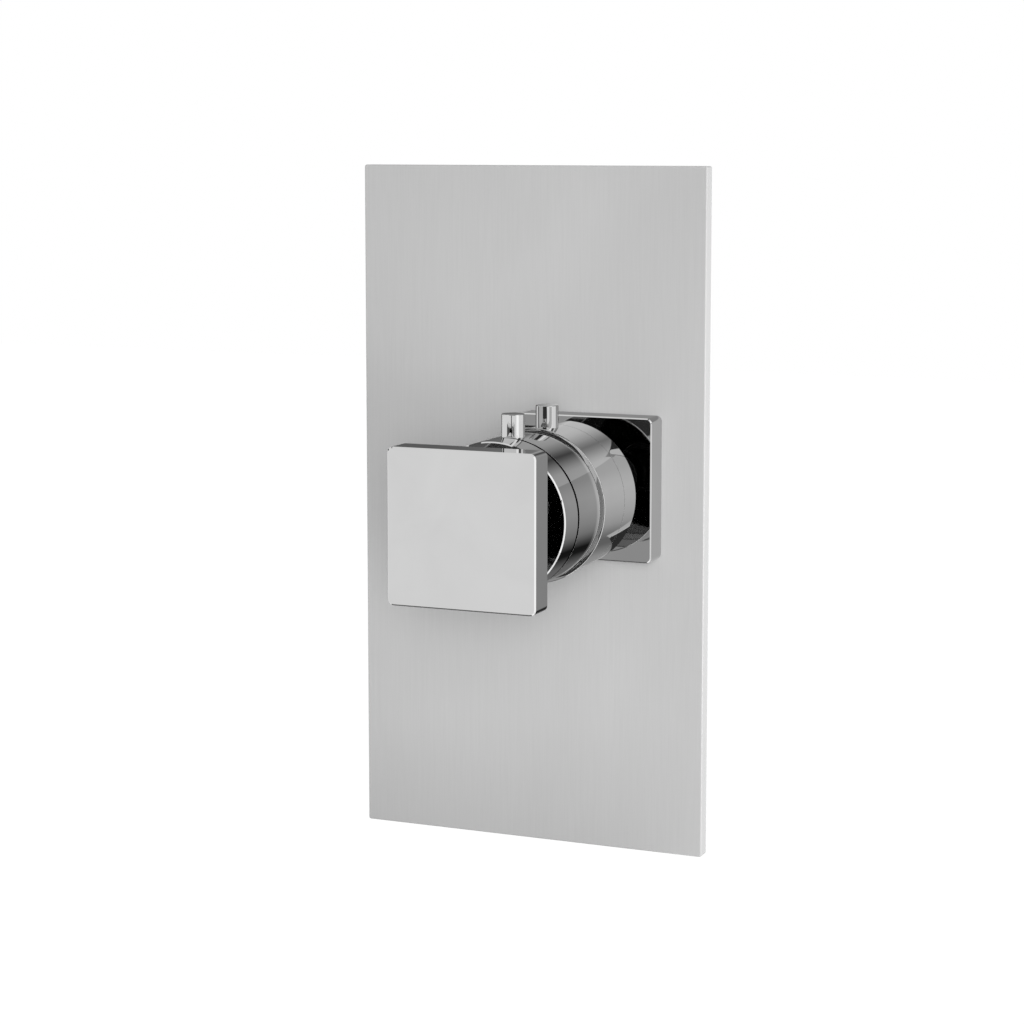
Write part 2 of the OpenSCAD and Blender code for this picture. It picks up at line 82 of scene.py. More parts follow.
# Segments of a rounded corner and of a flat chamfer.
ROUND_SEGMENTS = 6
CHAMFER = 1
# The angle past which an edge is shaded as a hard one.
HARD_EDGE = math.radians(32)
# Points closer than this many millimetres are one point.
WELD = 1e-4
# How far a cutting shape reaches past the face that it cuts, in millimetres.
PAST = 1.0
# The small break that a tool leaves on every machined edge, in millimetres.
BREAK = 0.15
# The break of an edge beside a narrow gap, and the one of a ring's mouth, in millimetres.
CRISP = 0.03
MOUTH = 0.1
# The range that most of a noise keeps to.
NOISE_RANGE = (0.3, 0.7)


class Slot(Enum):
    """Names of the material slots."""

    SATIN_STEEL = "satin_steel"
    CHROME = "chrome"
    BRASS = "brass"
    FASTENER_STEEL = "fastener_steel"
    BEARING_PLASTIC = "bearing_plastic"
    RUBBER = "rubber"
    FOAM = "foam"


class Body(Enum):
    """The CAD bodies that pieces move with."""

    MOUNTING = "mounting"
    DIVERTER = "diverter"
    FLOW = "flow"
    TEMPERATURE = "temperature"


class Facing(Enum):
    """Which way a shape that is built along +Z points once it is in place."""

    OUTWARD = "from the wall into the room"
    UPWARD = "up from the control axis"
    DOWNWARD = "down from the control axis"


class Side(Enum):
    """Which side of the object a studio card hangs on: the turn that brings it there."""

    ROOM = (0.0, "Z")
    LEFT = (-90.0, "Z")
    RIGHT = (90.0, "Z")
    ABOVE = (-90.0, "X")
    BELOW = (90.0, "X")


def linear(hex_colour: str) -> tuple[float, float, float, float]:
    """Turns an sRGB hex colour into the linear colour that shaders take.

    Args:
        hex_colour: Six hex digits after a #.

    Returns:
        Red, green, blue and an alpha of 1.
    """
    values = [int(hex_colour[i : i + 2], 16) / 255 for i in (1, 3, 5)]
    red, green, blue = (v / 12.92 if v <= 0.04045 else ((v + 0.055) / 1.055) ** 2.4 for v in values)
    return red, green, blue, 1.0


WHITE = linear("#FFFFFF")


def add_node(tree: Tree, kind: str, inputs: dict | None = None, **settings: object) -> bpy.types.Node:
    """Adds one node with its settings and its inputs.

    Args:
        tree: The node tree that gets the node.
        kind: The node's type name.
        inputs: Values or output sockets of other nodes, by input name or number.
        **settings: Properties of the node itself.

    Returns:
        The new node.
    """
    node = tree.nodes.new(kind)
    for name, value in settings.items():
        setattr(node, name, value)
    for key, value in (inputs or {}).items():
        if isinstance(value, bpy.types.NodeSocket):
            tree.links.new(value, node.inputs[key])
        else:
            node.inputs[key].default_value = value
    return node


def placement(facing: Facing, place: float = 0.0) -> Matrix:
    """Gives the move from a shape's own axis to the control axis.

    Args:
        facing: Which way the shape points.
        place: Distance of a radial shape from the wall, in millimetres.

    Returns:
        The matrix, still in millimetres.
    """
    if facing is Facing.OUTWARD:
        return Matrix.Rotation(math.radians(90), 4, "X")
    along = Matrix.Translation((0.0, -place, 0.0))
    if facing is Facing.DOWNWARD:
        return along @ Matrix.Rotation(math.pi, 4, "X")
    return along


def across(facing: Facing, place: float) -> Matrix:
    """Gives the move that lays a cutting shape across one that is built along the control axis."""
    turn = -90 if facing is Facing.UPWARD else 90
    return Matrix.Translation((0, 0, place)) @ Matrix.Rotation(math.radians(turn), 4, "X")


@dataclass(frozen=True)
class Corner:
    """A corner of a turned piece's half section, in millimetres.

    Attributes:
        radius: Distance from the piece's axis.
        place: Distance along that axis.
        rounding: Radius of the rounded corner, or 0 for a sharp one.
    """

    radius: float
    place: float
    rounding: float = 0.0


def spun(work: Shape, angle: float, steps: int, rise: float = 0.0) -> None:
    """Spins points and edges round the local Z axis.

    Args:
        work: The shape that they are in.
        angle: Angle of the whole sweep, in radians.
        steps: Number of steps of the sweep.
        rise: Move along the axis at each step.
    """
    bmesh.ops.spin(
        work, geom=work.verts[:] + work.edges[:], cent=(0, 0, 0), axis=(0, 0, 1), dvec=(0, 0, rise),
        angle=angle, steps=steps, use_merge=abs(angle - math.tau) < WELD, use_duplicate=False,
    )


def turned(
    corners: Sequence[Corner], steps: int = RING_STEPS, sweep: float = math.tau, rise: float = 0.0,
) -> Shape:
    """Turns a closed half section round the local Z axis.

    Args:
        corners: The section's corners in order.
        steps: Number of steps of the sweep.
        sweep: Angle of the sweep, in radians.
        rise: Move along the axis at each step, for a thread.

    Returns:
        The closed shape.
    """
    work = bmesh.new()
    points = [work.verts.new((c.radius, 0.0, c.place)) for c in corners]
    work.faces.new(points)
    for point, corner in zip(points, corners):
        if corner.rounding > 0:
            bmesh.ops.bevel(
                work, geom=[point], offset=corner.rounding, offset_type="OFFSET",
                segments=ROUND_SEGMENTS, profile=0.5, affect="VERTICES", material=-1,
            )
    bmesh.ops.delete(work, geom=list(work.faces), context="FACES_ONLY")
    on_axis = [e for e in work.edges if all(v.co.x < WELD for v in e.verts)]
    bmesh.ops.delete(work, geom=on_axis, context="EDGES")
    spun(work, sweep, steps, rise)
    bmesh.ops.remove_doubles(work, verts=work.verts, dist=WELD)
    if abs(sweep - math.tau) > WELD:
        bmesh.ops.holes_fill(work, edges=[e for e in work.edges if e.is_boundary], sides=0)
    bmesh.ops.recalc_face_normals(work, faces=work.faces)
    return work


def rod(
    radius: float, back: float, front: float, steps: int = SMALL_STEPS, rounding: float = 0.0,
) -> Shape:
    """Turns a plain round bar, which also serves as a drill.

    Args:
        radius: The bar's radius.
        back: Where it starts along its axis.
        front: Where it ends.
        steps: Steps of the full turn.
        rounding: Rounding of its two rims.

    Returns:
        The closed shape.
    """
    rims = [Corner(radius, back, rounding), Corner(radius, front, rounding)]
    return turned([Corner(0, back), *rims, Corner(0, front)], steps)


def sleeve(
    inner: float, outer: float, back: float, front: float, rounding: float, steps: int = SMALL_STEPS,
    sweep: float = math.tau,
) -> Shape:
    """Turns a plain tube.

    Args:
        inner: Radius of the bore.
        outer: Outer radius.
        back: Where it starts along its axis.
        front: Where it ends.
        rounding: Rounding of all four rims.
        steps: Steps of the sweep.
        sweep: Angle of the sweep, in radians.

    Returns:
        The closed shape.
    """
    places = [(inner, back), (outer, back), (outer, front), (inner, front)]
    return turned([Corner(r, s, rounding) for r, s in places], steps, sweep)


def slab(
    width: float, height: float, back: float, front: float, corner: float = 0.0,
    front_edge: float = 0.0, back_edge: float = 0.0, edge_steps: int = ROUND_SEGMENTS,
) -> Shape:
    """Makes a flat block with rounded corners and edges.

    Args:
        width: Size along local X.
        height: Size along local Y.
        back: Where it starts along local Z.
        front: Where it ends.
        corner: Radius of the four corners in plan.
        front_edge: Rounding round the front face.
        back_edge: Rounding round the back face.
        edge_steps: Segments of these two roundings.

    Returns:
        The closed shape.
    """
    work = bmesh.new()
    bmesh.ops.create_cube(work, size=1.0)
    bmesh.ops.scale(work, vec=(width, height, front - back), verts=work.verts)
    bmesh.ops.translate(work, vec=(0, 0, (front + back) / 2), verts=work.verts)

    def soften(edges: list[bmesh.types.BMEdge], radius: float, segments: int) -> None:
        """Bevels some edges, where there is a radius to give them."""
        if radius > 0:
            bmesh.ops.bevel(
                work, geom=edges, offset=radius, offset_type="OFFSET", segments=segments,
                profile=0.5, affect="EDGES", material=-1, clamp_overlap=True,
            )

    upright = [e for e in work.edges if abs(e.verts[0].co.z - e.verts[1].co.z) > WELD]
    soften(upright, corner, 2 * ROUND_SEGMENTS)
    for level, radius in ((front, front_edge), (back, back_edge)):
        rim = [e for e in work.edges if all(abs(v.co.z - level) < WELD for v in e.verts)]
        soften(rim, radius, edge_steps)
    return work


def as_object(name: str, work: Shape) -> bpy.types.Object:
    """Makes a shape an object of the scene.

    Args:
        name: The object's name.
        work: The shape, used up here.

    Returns:
        The new object.
    """
    mesh = bpy.data.meshes.new(name)
    work.to_mesh(mesh)
    work.free()
    made = bpy.data.objects.new(name, mesh)
    bpy.context.scene.collection.objects.link(made)
    return made


def carved(work: Shape, tools: Iterable[Shape]) -> Shape:
    """Takes cutting shapes out of a shape.

    Args:
        work: The shape that is cut.
        tools: The cutting shapes, used up here.

    Returns:
        The cut shape.
    """
    scratch = [as_object("scratch", shape) for shape in (work, *tools)]
    block = scratch[0]
    for tool in scratch[1:]:
        cut = block.modifiers.new("cut", "BOOLEAN")
        cut.operation, cut.solver, cut.object = "DIFFERENCE", "EXACT", tool
    graph = bpy.context.evaluated_depsgraph_get()
    result = bmesh.new()
    result.from_mesh(block.evaluated_get(graph).to_mesh())
    for holder in scratch:
        mesh = holder.data
        bpy.data.objects.remove(holder)
        bpy.data.meshes.remove(mesh)
    return result


def joined(parts: Sequence[Shape]) -> Shape:
    """Puts several shapes into one mesh.

    Args:
        parts: The shapes, used up here.

    Returns:
        One bmesh with all of them.
    """
    whole = bmesh.new()
    for part in parts:
        mesh = bpy.data.meshes.new("scratch")
        part.to_mesh(mesh)
        part.free()
        whole.from_mesh(mesh)
        bpy.data.meshes.remove(mesh)
    return whole


def moved(work: Shape, matrix: Matrix) -> Shape:
    """Moves a shape and gives it back."""
    bmesh.ops.transform(work, matrix=matrix, verts=work.verts)
    return work


# Finishes


@dataclass(frozen=True)
class Surface:
    """The inside of a material, to which a finish adds its pattern.

    Attributes:
        tree: The material's node tree.
        shader: Its principled shader.
        colour: Its base colour, as an sRGB hex value.
    """

    tree: Tree
    shader: bpy.types.Node
    colour: str

    def noise(self, size: Triple, detail: float = 2.0, distortion: float = 0.0) -> Socket:
        """Adds a noise whose features have a real size.

        Args:
            size: Feature size along X, Y and Z, in millimetres.
            detail: Octaves of finer noise on top.
            distortion: How much the features are bent.

        Returns:
            The noise's value, around 0.5.
        """
        place = add_node(self.tree, "ShaderNodeTexCoord").outputs["Object"]
        scale = tuple(1 / (s * MM) for s in size)
        mapped = add_node(self.tree, "ShaderNodeMapping", {"Vector": place, "Scale": scale}).outputs[0]
        inputs = {"Vector": mapped, "Scale": 1.0, "Detail": detail, "Distortion": distortion}
        return add_node(self.tree, "ShaderNodeTexNoise", inputs).outputs["Fac"]

    def spread(self, value: Socket, low: float, high: float) -> Socket:
        """Maps the middle of a noise to the range from low to high.

        Args:
            value: The noise.
            low: Result where the noise is low.
            high: Result where it is high.

        Returns:
            The mapped value.
        """
        start, end = NOISE_RANGE
        limits = {"Value": value, "From Min": start, "From Max": end, "To Min": low, "To Max": high}
        return add_node(self.tree, "ShaderNodeMapRange", limits).outputs["Result"]

    def tint(self, value: Socket, other: str) -> None:
        """Lets the base colour drift to another one.

        Args:
            value: The noise that says where.
            other: The other colour, as an sRGB hex value.
        """
        colours = {0: self.spread(value, 0.0, 1.0), 6: linear(self.colour), 7: linear(other)}
        mix = add_node(self.tree, "ShaderNodeMix", colours, data_type="RGBA")
        self.tree.links.new(mix.outputs[2], self.shader.inputs["Base Color"])

    def roughen(self, value: Socket, low: float, high: float) -> None:
        """Lets the roughness follow a noise, from low to high."""
        self.tree.links.new(self.spread(value, low, high), self.shader.inputs["Roughness"])

    def relief(self, *heights: tuple[Socket, float]) -> None:
        """Adds fine relief.

        Args:
            *heights: Height patterns, each with its depth in thousandths of a millimetre.
        """
        normal = None
        for value, microns in heights:
            inputs = {"Height": value, "Distance": microns * MM * MM, "Strength": 1.0}
            if normal is not None:
                inputs["Normal"] = normal
            normal = add_node(self.tree, "ShaderNodeBump", inputs).outputs["Normal"]
        self.tree.links.new(normal, self.shader.inputs["Normal"])


@dataclass(frozen=True)
class Finish:
    """What a surface is made of and how it was made.

    Attributes:
        name: The material's name.
        slot: The material slot. It is not used.
        colour: Base colour, as an sRGB hex value.
        metallic: 1 for a bare or plated metal.
        roughness: Middle roughness of the surface.
        other: Colour that it drifts to, such as tarnish on brass or bloom on rubber.
    """

    name: str
    slot: Slot
    colour: str
    metallic: float
    roughness: float
    other: str

    def material(self) -> bpy.types.Material:
        """Returns this finish's material, made at its first use."""
        return bpy.data.materials.get(self.name) or self.made()

    def made(self) -> bpy.types.Material:
        """Makes the material with its pattern.

        Returns:
            The new material.
        """
        material = bpy.data.materials.new(self.name)
        material.use_nodes = True
        tree = material.node_tree
        shader = tree.nodes["Principled BSDF"]
        shader.inputs["Base Color"].default_value = linear(self.colour)
        shader.inputs["Metallic"].default_value = self.metallic
        shader.inputs["Roughness"].default_value = self.roughness
        self.detail(Surface(tree, shader, self.colour))
        return material

    def detail(self, surface: Surface) -> None:
        """Adds the surface's own pattern. Each finish has its own."""


@dataclass(frozen=True)
class PolishedChrome(Finish):
    """Chromium plated on polished brass: a clear mirror with a slight ripple from buffing.

    The hairlines are drawn 0.5 mm wide, because real ones wouldn't show.

    Attributes:
        film: Size of the patches of a faint film from handling, in millimetres.
        film_share: How far the film moves the roughness, as a share of it.
        ripple: Size of the buffing ripple, in millimetres.
        hairline: Size of the hairlines along X, Y and Z, in millimetres.
        depths: Depth of ripple and hairlines, in thousandths of a millimetre.
    """

    film: float = 22.0
    film_share: float = 0.4
    ripple: float = 7.0
    hairline: Triple = (0.5, 9.0, 9.0)
    depths: Pair = (3.0, 0.12)

    def detail(self, surface: Surface) -> None:
        """Adds a faint film of handling, buffing ripple and hairlines.

        Args:
            surface: The inside of the material.
        """
        film = surface.noise((self.film,) * 3, detail=3, distortion=0.8)
        surface.tint(film, self.other)
        change = self.roughness * self.film_share
        surface.roughen(film, self.roughness - change, self.roughness + change)
        patterns = (surface.noise((self.ripple,) * 3, detail=1), surface.noise(self.hairline))
        surface.relief(*zip(patterns, self.depths))


@dataclass(frozen=True)
class SatinSteel(Finish):
    """Stainless sheet, brushed and satin-lacquered: a soft grey with fine upright grain.

    The lacquer scatters most of the light, so the sheet mirrors little and is metallic in part
    only. The grain is drawn at 0.4 mm, because the real 0.1 mm wouldn't show.

    Attributes:
        grain: Size of the grain along X, Y and Z, in millimetres.
        grain_depth: Its depth, in thousandths of a millimetre.
        clouds: Size of the slow clouds along X, Y and Z, in millimetres.
        change: How far the pattern moves the roughness.
    """

    grain: Triple = (0.4, 0.4, 18.0)
    grain_depth: float = 0.2
    clouds: Triple = (45.0, 45.0, 70.0)
    change: float = 0.03

    def detail(self, surface: Surface) -> None:
        """Adds the grain and slow clouds.

        Args:
            surface: The inside of the material.
        """
        grain = surface.noise(self.grain)
        clouds = surface.noise(self.clouds, distortion=0.5)
        both = add_node(surface.tree, "ShaderNodeMath", {0: grain, 1: clouds}, operation="ADD")
        half = add_node(surface.tree, "ShaderNodeMath", {0: both.outputs[0], 1: 0.5}, operation="MULTIPLY")
        surface.tint(half.outputs[0], self.other)
        surface.roughen(half.outputs[0], self.roughness - self.change, self.roughness + self.change)
        surface.relief((grain, self.grain_depth))


@dataclass(frozen=True)
class TurnedMetal(Finish):
    """Bare metal straight from the lathe: fine rings round the control axis.

    The tool marks are drawn a few times as far apart as real ones, which wouldn't show.

    Attributes:
        pitch: Distance between tool marks along the axis, in millimetres.
        mark: Length of a tool mark before it changes, in millimetres.
        stain: Size of the stains, in millimetres.
        depths: Depth of tool marks and stains, in thousandths of a millimetre.
        changes: How far stains lower and raise the roughness.
    """

    pitch: float = 0.5
    mark: float = 40.0
    stain: float = 6.0
    depths: Pair = (6.0, 2.0)
    changes: Pair = (0.06, 0.08)

    def detail(self, surface: Surface) -> None:
        """Adds tool marks along Y and stains.

        Args:
            surface: The inside of the material.
        """
        marks = surface.noise((self.mark, self.pitch, self.mark), detail=1)
        stains = surface.noise((self.stain,) * 3, detail=4, distortion=1.0)
        surface.tint(stains, self.other)
        less, more = self.changes
        surface.roughen(stains, self.roughness - less, self.roughness + more)
        surface.relief(*zip((marks, stains), self.depths))


@dataclass(frozen=True)
class Moulded(Finish):
    """Plastic, rubber or foam from a mould: a fine skin, and pores where it is a foam.

    Attributes:
        pore: Size of the surface's grain or cells, in millimetres.
        depth: Depth of that grain, in thousandths of a millimetre.
        bloom: Size of the cloudy bloom, in millimetres.
        change: How far the bloom moves the roughness.
    """

    pore: float = 0.4
    depth: float = 10.0
    bloom: float = 9.0
    change: float = 0.05

    def detail(self, surface: Surface) -> None:
        """Adds the skin's grain and a cloudy bloom.

        Args:
            surface: The inside of the material.
        """
        bloom = surface.noise((self.bloom,) * 3, detail=4, distortion=0.6)
        surface.tint(bloom, self.other)
        surface.roughen(bloom, self.roughness - self.change, self.roughness + self.change)
        surface.relief((surface.noise((self.pore,) * 3), self.depth))


CHROME = PolishedChrome("polished_chrome_plating", Slot.CHROME, "#CFCFCF", 1.0, 0.03, "#CBCBCB")
SATIN = SatinSteel("brushed_stainless_sheet", Slot.SATIN_STEEL, "#C0C0C0", 0.3, 0.5, "#BBBBBB")
BRASS = TurnedMetal("turned_brass", Slot.BRASS, "#C8A764", 1.0, 0.26, "#A98B4E")
STEEL = TurnedMetal(
    "stainless_fastener_steel", Slot.FASTENER_STEEL, "#B4B5B7", 1.0, 0.28, "#9D9EA0", pitch=0.35,
)
ACETAL = Moulded("black_acetal", Slot.BEARING_PLASTIC, "#1F2021", 0.0, 0.38, "#28292A", 0.5, 4.0)
RUBBER = Moulded("epdm_rubber", Slot.RUBBER, "#19191A", 0.0, 0.62, "#2B2B2B", 0.6, 14.0)
FOAM = Moulded("closed_cell_foam", Slot.FOAM, "#38393A", 0.0, 0.85, "#454647", 0.9, 120.0)


# What the sub-assemblies share


class Assembly:
    """Pieces that are built and dressed together and ride on one body.

    Attributes:
        body: The CAD body that they ride on.
        kept: The CAD nodes that stay as they are, with their finishes.
    """

    body: Body = Body.MOUNTING
    kept: dict[str, Finish] = {}

    def piece(
        self, name: str, node: str, finish: Finish, work: Shape, facing: Facing = Facing.OUTWARD,
        place: float = 0.0,
    ) -> None:
        """Makes a shape the finished piece that stands for a CAD node.

        Args:
            name: The piece's name.
            node: The CAD node that it stands for.
            finish: What it is made of.
            work: Its shape in millimetres, along its own axis.
            facing: Which way the shape points.
            place: Distance of a radial shape from the wall.
        """
        bmesh.ops.remove_doubles(work, verts=work.verts, dist=WELD)
        bmesh.ops.recalc_face_normals(work, faces=work.faces)
        moved(work, Matrix.Scale(MM, 4) @ placement(facing, place))
        for face in work.faces:
            face.smooth = True
        for edge in work.edges:
            edge.smooth = not edge.is_manifold or edge.calc_face_angle(0.0) < HARD_EDGE
        piece = as_object(name, work)
        piece.data.materials.append(finish.material())
        even = piece.modifiers.new("even_shading", "WEIGHTED_NORMAL")
        even.keep_sharp, even.weight = True, 100
        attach(piece, self.body.value)
        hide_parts(node)
        LOG.info("%s rides on %s, %d faces", name, self.body.value, len(piece.data.polygons))

    def dress(self, nodes: dict[str, bpy.types.Object]) -> None:
        """Gives the CAD nodes that stay their finishes.

        Args:
            nodes: The frame's objects by node name.
        """
        for name, finish in self.kept.items():
            mesh = nodes[name].data
            if not mesh.materials:
                mesh.materials.append(None)
            for i in range(len(mesh.materials)):
                mesh.materials[i] = finish.material()
            LOG.info("%s stays, as %s", name, finish.name)


@dataclass(frozen=True)
class Axis:
    """Places along the control axis and sizes that the sub-assemblies share, in millimetres."""

    rosette_back: float = 5.0
    rosette_front: float = 15.5
    neck_back: float = 15.6
    controls_back: float = 30.0
    diverter_back: float = 41.0
    diverter_front: float = 61.9
    flow_back: float = 63.5
    flow_front: float = 82.35
    collar_back: float = 82.85
    collar_front: float = 94.0
    knob_back: float = 109.0
    knob_front: float = 119.0
    ring: float = 24.8
    cavity: float = 20.8
    web: float = 3.5
    relief: float = 1.4
    relief_depth: float = 0.45
    neck: float = 7.0
    journal: float = 6.5
    flow_tube: float = 4.5
    spindle: float = 2.5
    grub: float = 2.0
    seat_gap: float = 0.02
    running_gap: float = 0.05


AXIS = Axis()


@dataclass(frozen=True)
class GrubScrew:
    """A grub screw with a flat point and a hexagon socket.

    Attributes:
        radius: Its radius. Point and socket are shares of it.
        outer: Where its socket end is along its axis.
        inner: Where its point is.
    """

    radius: float
    outer: float
    inner: float
    point_share: float = 0.3
    socket_share: float = 0.58

    def shape(self) -> Shape:
        """Builds the screw.

        Returns:
            The shape along its own axis.
        """
        point = self.point_share * self.radius
        section = [
            Corner(0, self.inner), Corner(self.radius - point, self.inner),
            Corner(self.radius, self.inner + point), Corner(self.radius, self.outer - BREAK),
            Corner(self.radius - BREAK, self.outer), Corner(0, self.outer),
        ]
        socket = rod(self.socket_share * self.radius, self.outer - self.radius, self.outer + PAST, HEXAGON)
        return carved(turned(section, SMALL_STEPS), [socket])


@dataclass(frozen=True)
class ClipRing:
    """A retaining ring in a groove on a shaft, with two lugs for the pliers.

    Attributes:
        shaft: Radius of the groove's floor.
        front: Where the ring's front face is along the axis.
        thick: Thickness along the axis.
        height: How far the ring stands out of the groove's floor.
        opening: Angle of its opening, in degrees.
        lug_share: Radius of a lug, as a share of the height.
        eye_share: Radius of the hole in it, as a share of the lug's.
    """

    shaft: float
    front: float
    thick: float = 1.0
    height: float = 1.6
    opening: float = 50.0
    lug_share: float = 0.62
    eye_share: float = 0.4

    def shape(self) -> Shape:
        """Builds the ring with its lugs.

        Returns:
            The shape along its own axis.
        """
        inner = self.shaft + AXIS.seat_gap
        outer = inner + self.height
        ends = (self.front - self.thick, self.front)
        half = self.opening / 2
        band = sleeve(inner, outer, *ends, BREAK, SMALL_STEPS, math.radians(360 - self.opening))
        parts = [moved(band, Matrix.Rotation(math.radians(90 + half), 4, "Z"))]
        lug = self.lug_share * self.height
        for side in (-1, 1):
            eye = sleeve(self.eye_share * lug, lug, *ends, BREAK / 2, LUG_STEPS)
            turn = Matrix.Rotation(math.radians(90 + side * half), 4, "Z")
            parts.append(moved(eye, turn @ Matrix.Translation(((inner + outer) / 2, 0, 0))))
        return joined(parts)


@dataclass(frozen=True)
class Shaft:
    """One of the three nested shafts, with the groove of its clip.

    Attributes:
        radius: Its outer radius.
        bore: Radius of its bore, or 0 for a solid shaft.
        back: Where it ends inside the wall.
        front: Where it ends in its control.
        clip: Where the front face of its clip is.
        steps: Steps of the full turn.
        edge: Rounding of its ends.
        neck: Radius and start of a thicker front part, or nothing.
        groove: Depth and width of the groove.
        slot: Width and length of the two drive slots across a tube's end.
        bush: Length and rounding of the bush in a tube's rear end.
    """

    radius: float
    bore: float
    back: float
    front: float
    clip: float
    steps: int
    edge: float = BREAK
    neck: Pair | None = None
    groove: Pair = (0.4, 1.1)
    slot: Pair = (2.4, 3.0)
    bush: Pair = (10.0, 0.08)

    def bar(self) -> Shape:
        """Turns the shaft with its groove.

        Returns:
            The shape along its own axis.
        """
        depth, width = self.groove
        floor = self.radius - depth
        bore_edge = self.edge if self.bore else 0.0
        section = [
            Corner(self.bore, self.back, bore_edge), Corner(self.radius, self.back, self.edge),
            Corner(self.radius, self.clip - width), Corner(floor, self.clip - width),
            Corner(floor, self.clip), Corner(self.radius, self.clip),
        ]
        last = self.radius
        if self.neck:
            last, start = self.neck
            section += [Corner(self.radius, start), Corner(last, start, BREAK)]
        section += [Corner(last, self.front, self.edge), Corner(self.bore, self.front, bore_edge)]
        return turned(section, self.steps)

    def tube(self) -> Shape:
        """Cuts the two drive slots into the shaft's end.

        Returns:
            The shape along its own axis.
        """
        width, length = self.slot
        long = 2 * (self.radius + PAST)
        ends = (self.back - PAST, self.back + length)
        return carved(self.bar(), [slab(long, width, *ends), slab(width, long, *ends)])

    def clip_ring(self) -> Shape:
        """Builds the clip in the groove."""
        return ClipRing(self.radius - self.groove[0], self.clip).shape()

    def rear_bush(self, carried: float) -> Shape:
        """Builds the bush in the tube's rear end.

        Args:
            carried: Radius of the shaft that turns in it.

        Returns:
            The shape along its own axis.
        """
        length, edge = self.bush
        back = self.back + self.slot[1]
        return sleeve(carried + AXIS.running_gap, self.bore - AXIS.seat_gap, back, back + length, edge)


# Sub-assemblies


@dataclass
class WallPlate(Assembly):
    """The folded plate on the wall, with its foam band and the seal round the valve."""

    width: float = 129.0
    height: float = 240.0
    depth: float = 5.0
    sheet: float = 2.0
    corner: float = 0.8
    edge: float = 0.5
    offset: Pair = (-23.9, -9.5)
    hole: float = 12.77
    screw_circle: float = 20.5
    screw_hole: float = 2.25
    foam_width: float = 6.0
    foam_gap: float = 0.3
    foam_edge: float = 0.4
    seal_rim: float = 24.7
    seal_edge: float = 0.35

    def screw_places(self) -> list[Matrix]:
        """Gives the moves to the four screws, in the plane of the wall.

        Returns:
            Four matrices.
        """
        angles = [math.radians(a) for a in (45, 135, 225, 315)]
        return [
            Matrix.Translation((self.screw_circle * math.cos(a), self.screw_circle * math.sin(a), 0))
            for a in angles
        ]

    def drills(self, back: float, front: float) -> list[Shape]:
        """Makes a drill at each screw, from back to front."""
        return [moved(rod(self.screw_hole, back, front, SCREW_STEPS), at) for at in self.screw_places()]

    def build(self) -> None:
        """Builds the plate, the foam and the seal."""
        shift = Matrix.Translation((*self.offset, 0))
        floor = self.depth - self.sheet
        ends = (-PAST, self.depth + PAST)
        tray = moved(slab(self.width, self.height, 0, self.depth, self.corner, self.edge), shift)
        inner = [side - 2 * self.sheet for side in (self.width, self.height)]
        recess = moved(slab(*inner, -PAST, floor, self.sheet / 2), shift)
        tray = carved(tray, [recess, rod(self.hole, *ends), *self.drills(*ends)])
        self.piece("plate_tray", "wall_plate", SATIN, tray)
        band = [side - 2 * self.foam_gap for side in inner]
        ring = moved(slab(*band, 0, floor, self.sheet, self.foam_edge, self.foam_edge), shift)
        window = [side - 2 * self.foam_width for side in band]
        opening = moved(slab(*window, -PAST, floor + PAST, self.sheet), shift)
        self.piece("foam_band", "plate_gasket", FOAM, carved(ring, [opening]))
        seal = sleeve(self.hole, self.seal_rim, 0, floor, self.seal_edge, ROUND_STEPS)
        seal = carved(seal, self.drills(-PAST, floor + PAST))
        self.piece("valve_seal_ring", "valve_seal", RUBBER, seal)


@dataclass(frozen=True)
class ValveScrew:
    """A countersunk screw with a hexagon socket and a real thread on its end.

    Attributes:
        thread: Outer radius of the thread.
        neck: Radius of the plain shank.
        head: Radius of the head, whose cone has 45 degrees.
        reach: How far it goes into the wall.
        pitch: Pitch of the thread.
        depth_share: Depth of the thread, as a share of the pitch.
        flank_share: Half the width of the ridge's foot, as a share of the pitch.
        crest: Half the width of its crest.
        sunk: How deep its foot lies in the shank.
        tip: Rounding of the tip.
        rim: Rounding of the head's rim.
        shoulder: Length of the cone between thread and shank.
        socket_share: Radius of the socket, as a share of the thread's.
        socket_depth: Its depth, as a share of the head's.
    """

    thread: float = 2.0
    neck: float = 1.8
    head: float = 3.7
    reach: float = 20.0
    pitch: float = 0.7
    depth_share: float = 0.55
    flank_share: float = 0.46
    crest: float = 0.05
    sunk: float = 0.1
    tip: float = 0.3
    rim: float = 0.1
    shoulder: float = 0.3
    socket_share: float = 0.6
    socket_depth: float = 0.7

    def shape(self, front: float) -> Shape:
        """Builds the screw.

        Args:
            front: Where its head ends.

        Returns:
            The shape along its own axis.
        """
        cone = self.head - self.neck
        root = self.thread - self.depth_share * self.pitch
        shank = turned([
            Corner(0, -self.reach), Corner(root, -self.reach, self.tip), Corner(root, 0),
            Corner(self.neck, self.shoulder), Corner(self.neck, front - cone),
            Corner(self.head, front, self.rim), Corner(0, front),
        ], SCREW_STEPS)
        socket = rod(
            self.socket_share * self.thread, front - self.socket_depth * cone, front + PAST, HEXAGON,
        )
        foot, half = root - self.sunk, self.flank_share * self.pitch
        start = -self.reach + self.pitch
        ridge = [
            Corner(foot, start - half), Corner(self.thread, start - self.crest),
            Corner(self.thread, start + self.crest), Corner(foot, start + half),
        ]
        turns = int((self.reach - 2 * self.pitch) / self.pitch)
        thread = turned(ridge, THREAD_STEPS * turns, math.tau * turns, self.pitch / THREAD_STEPS)
        return joined([carved(shank, [socket]), thread])


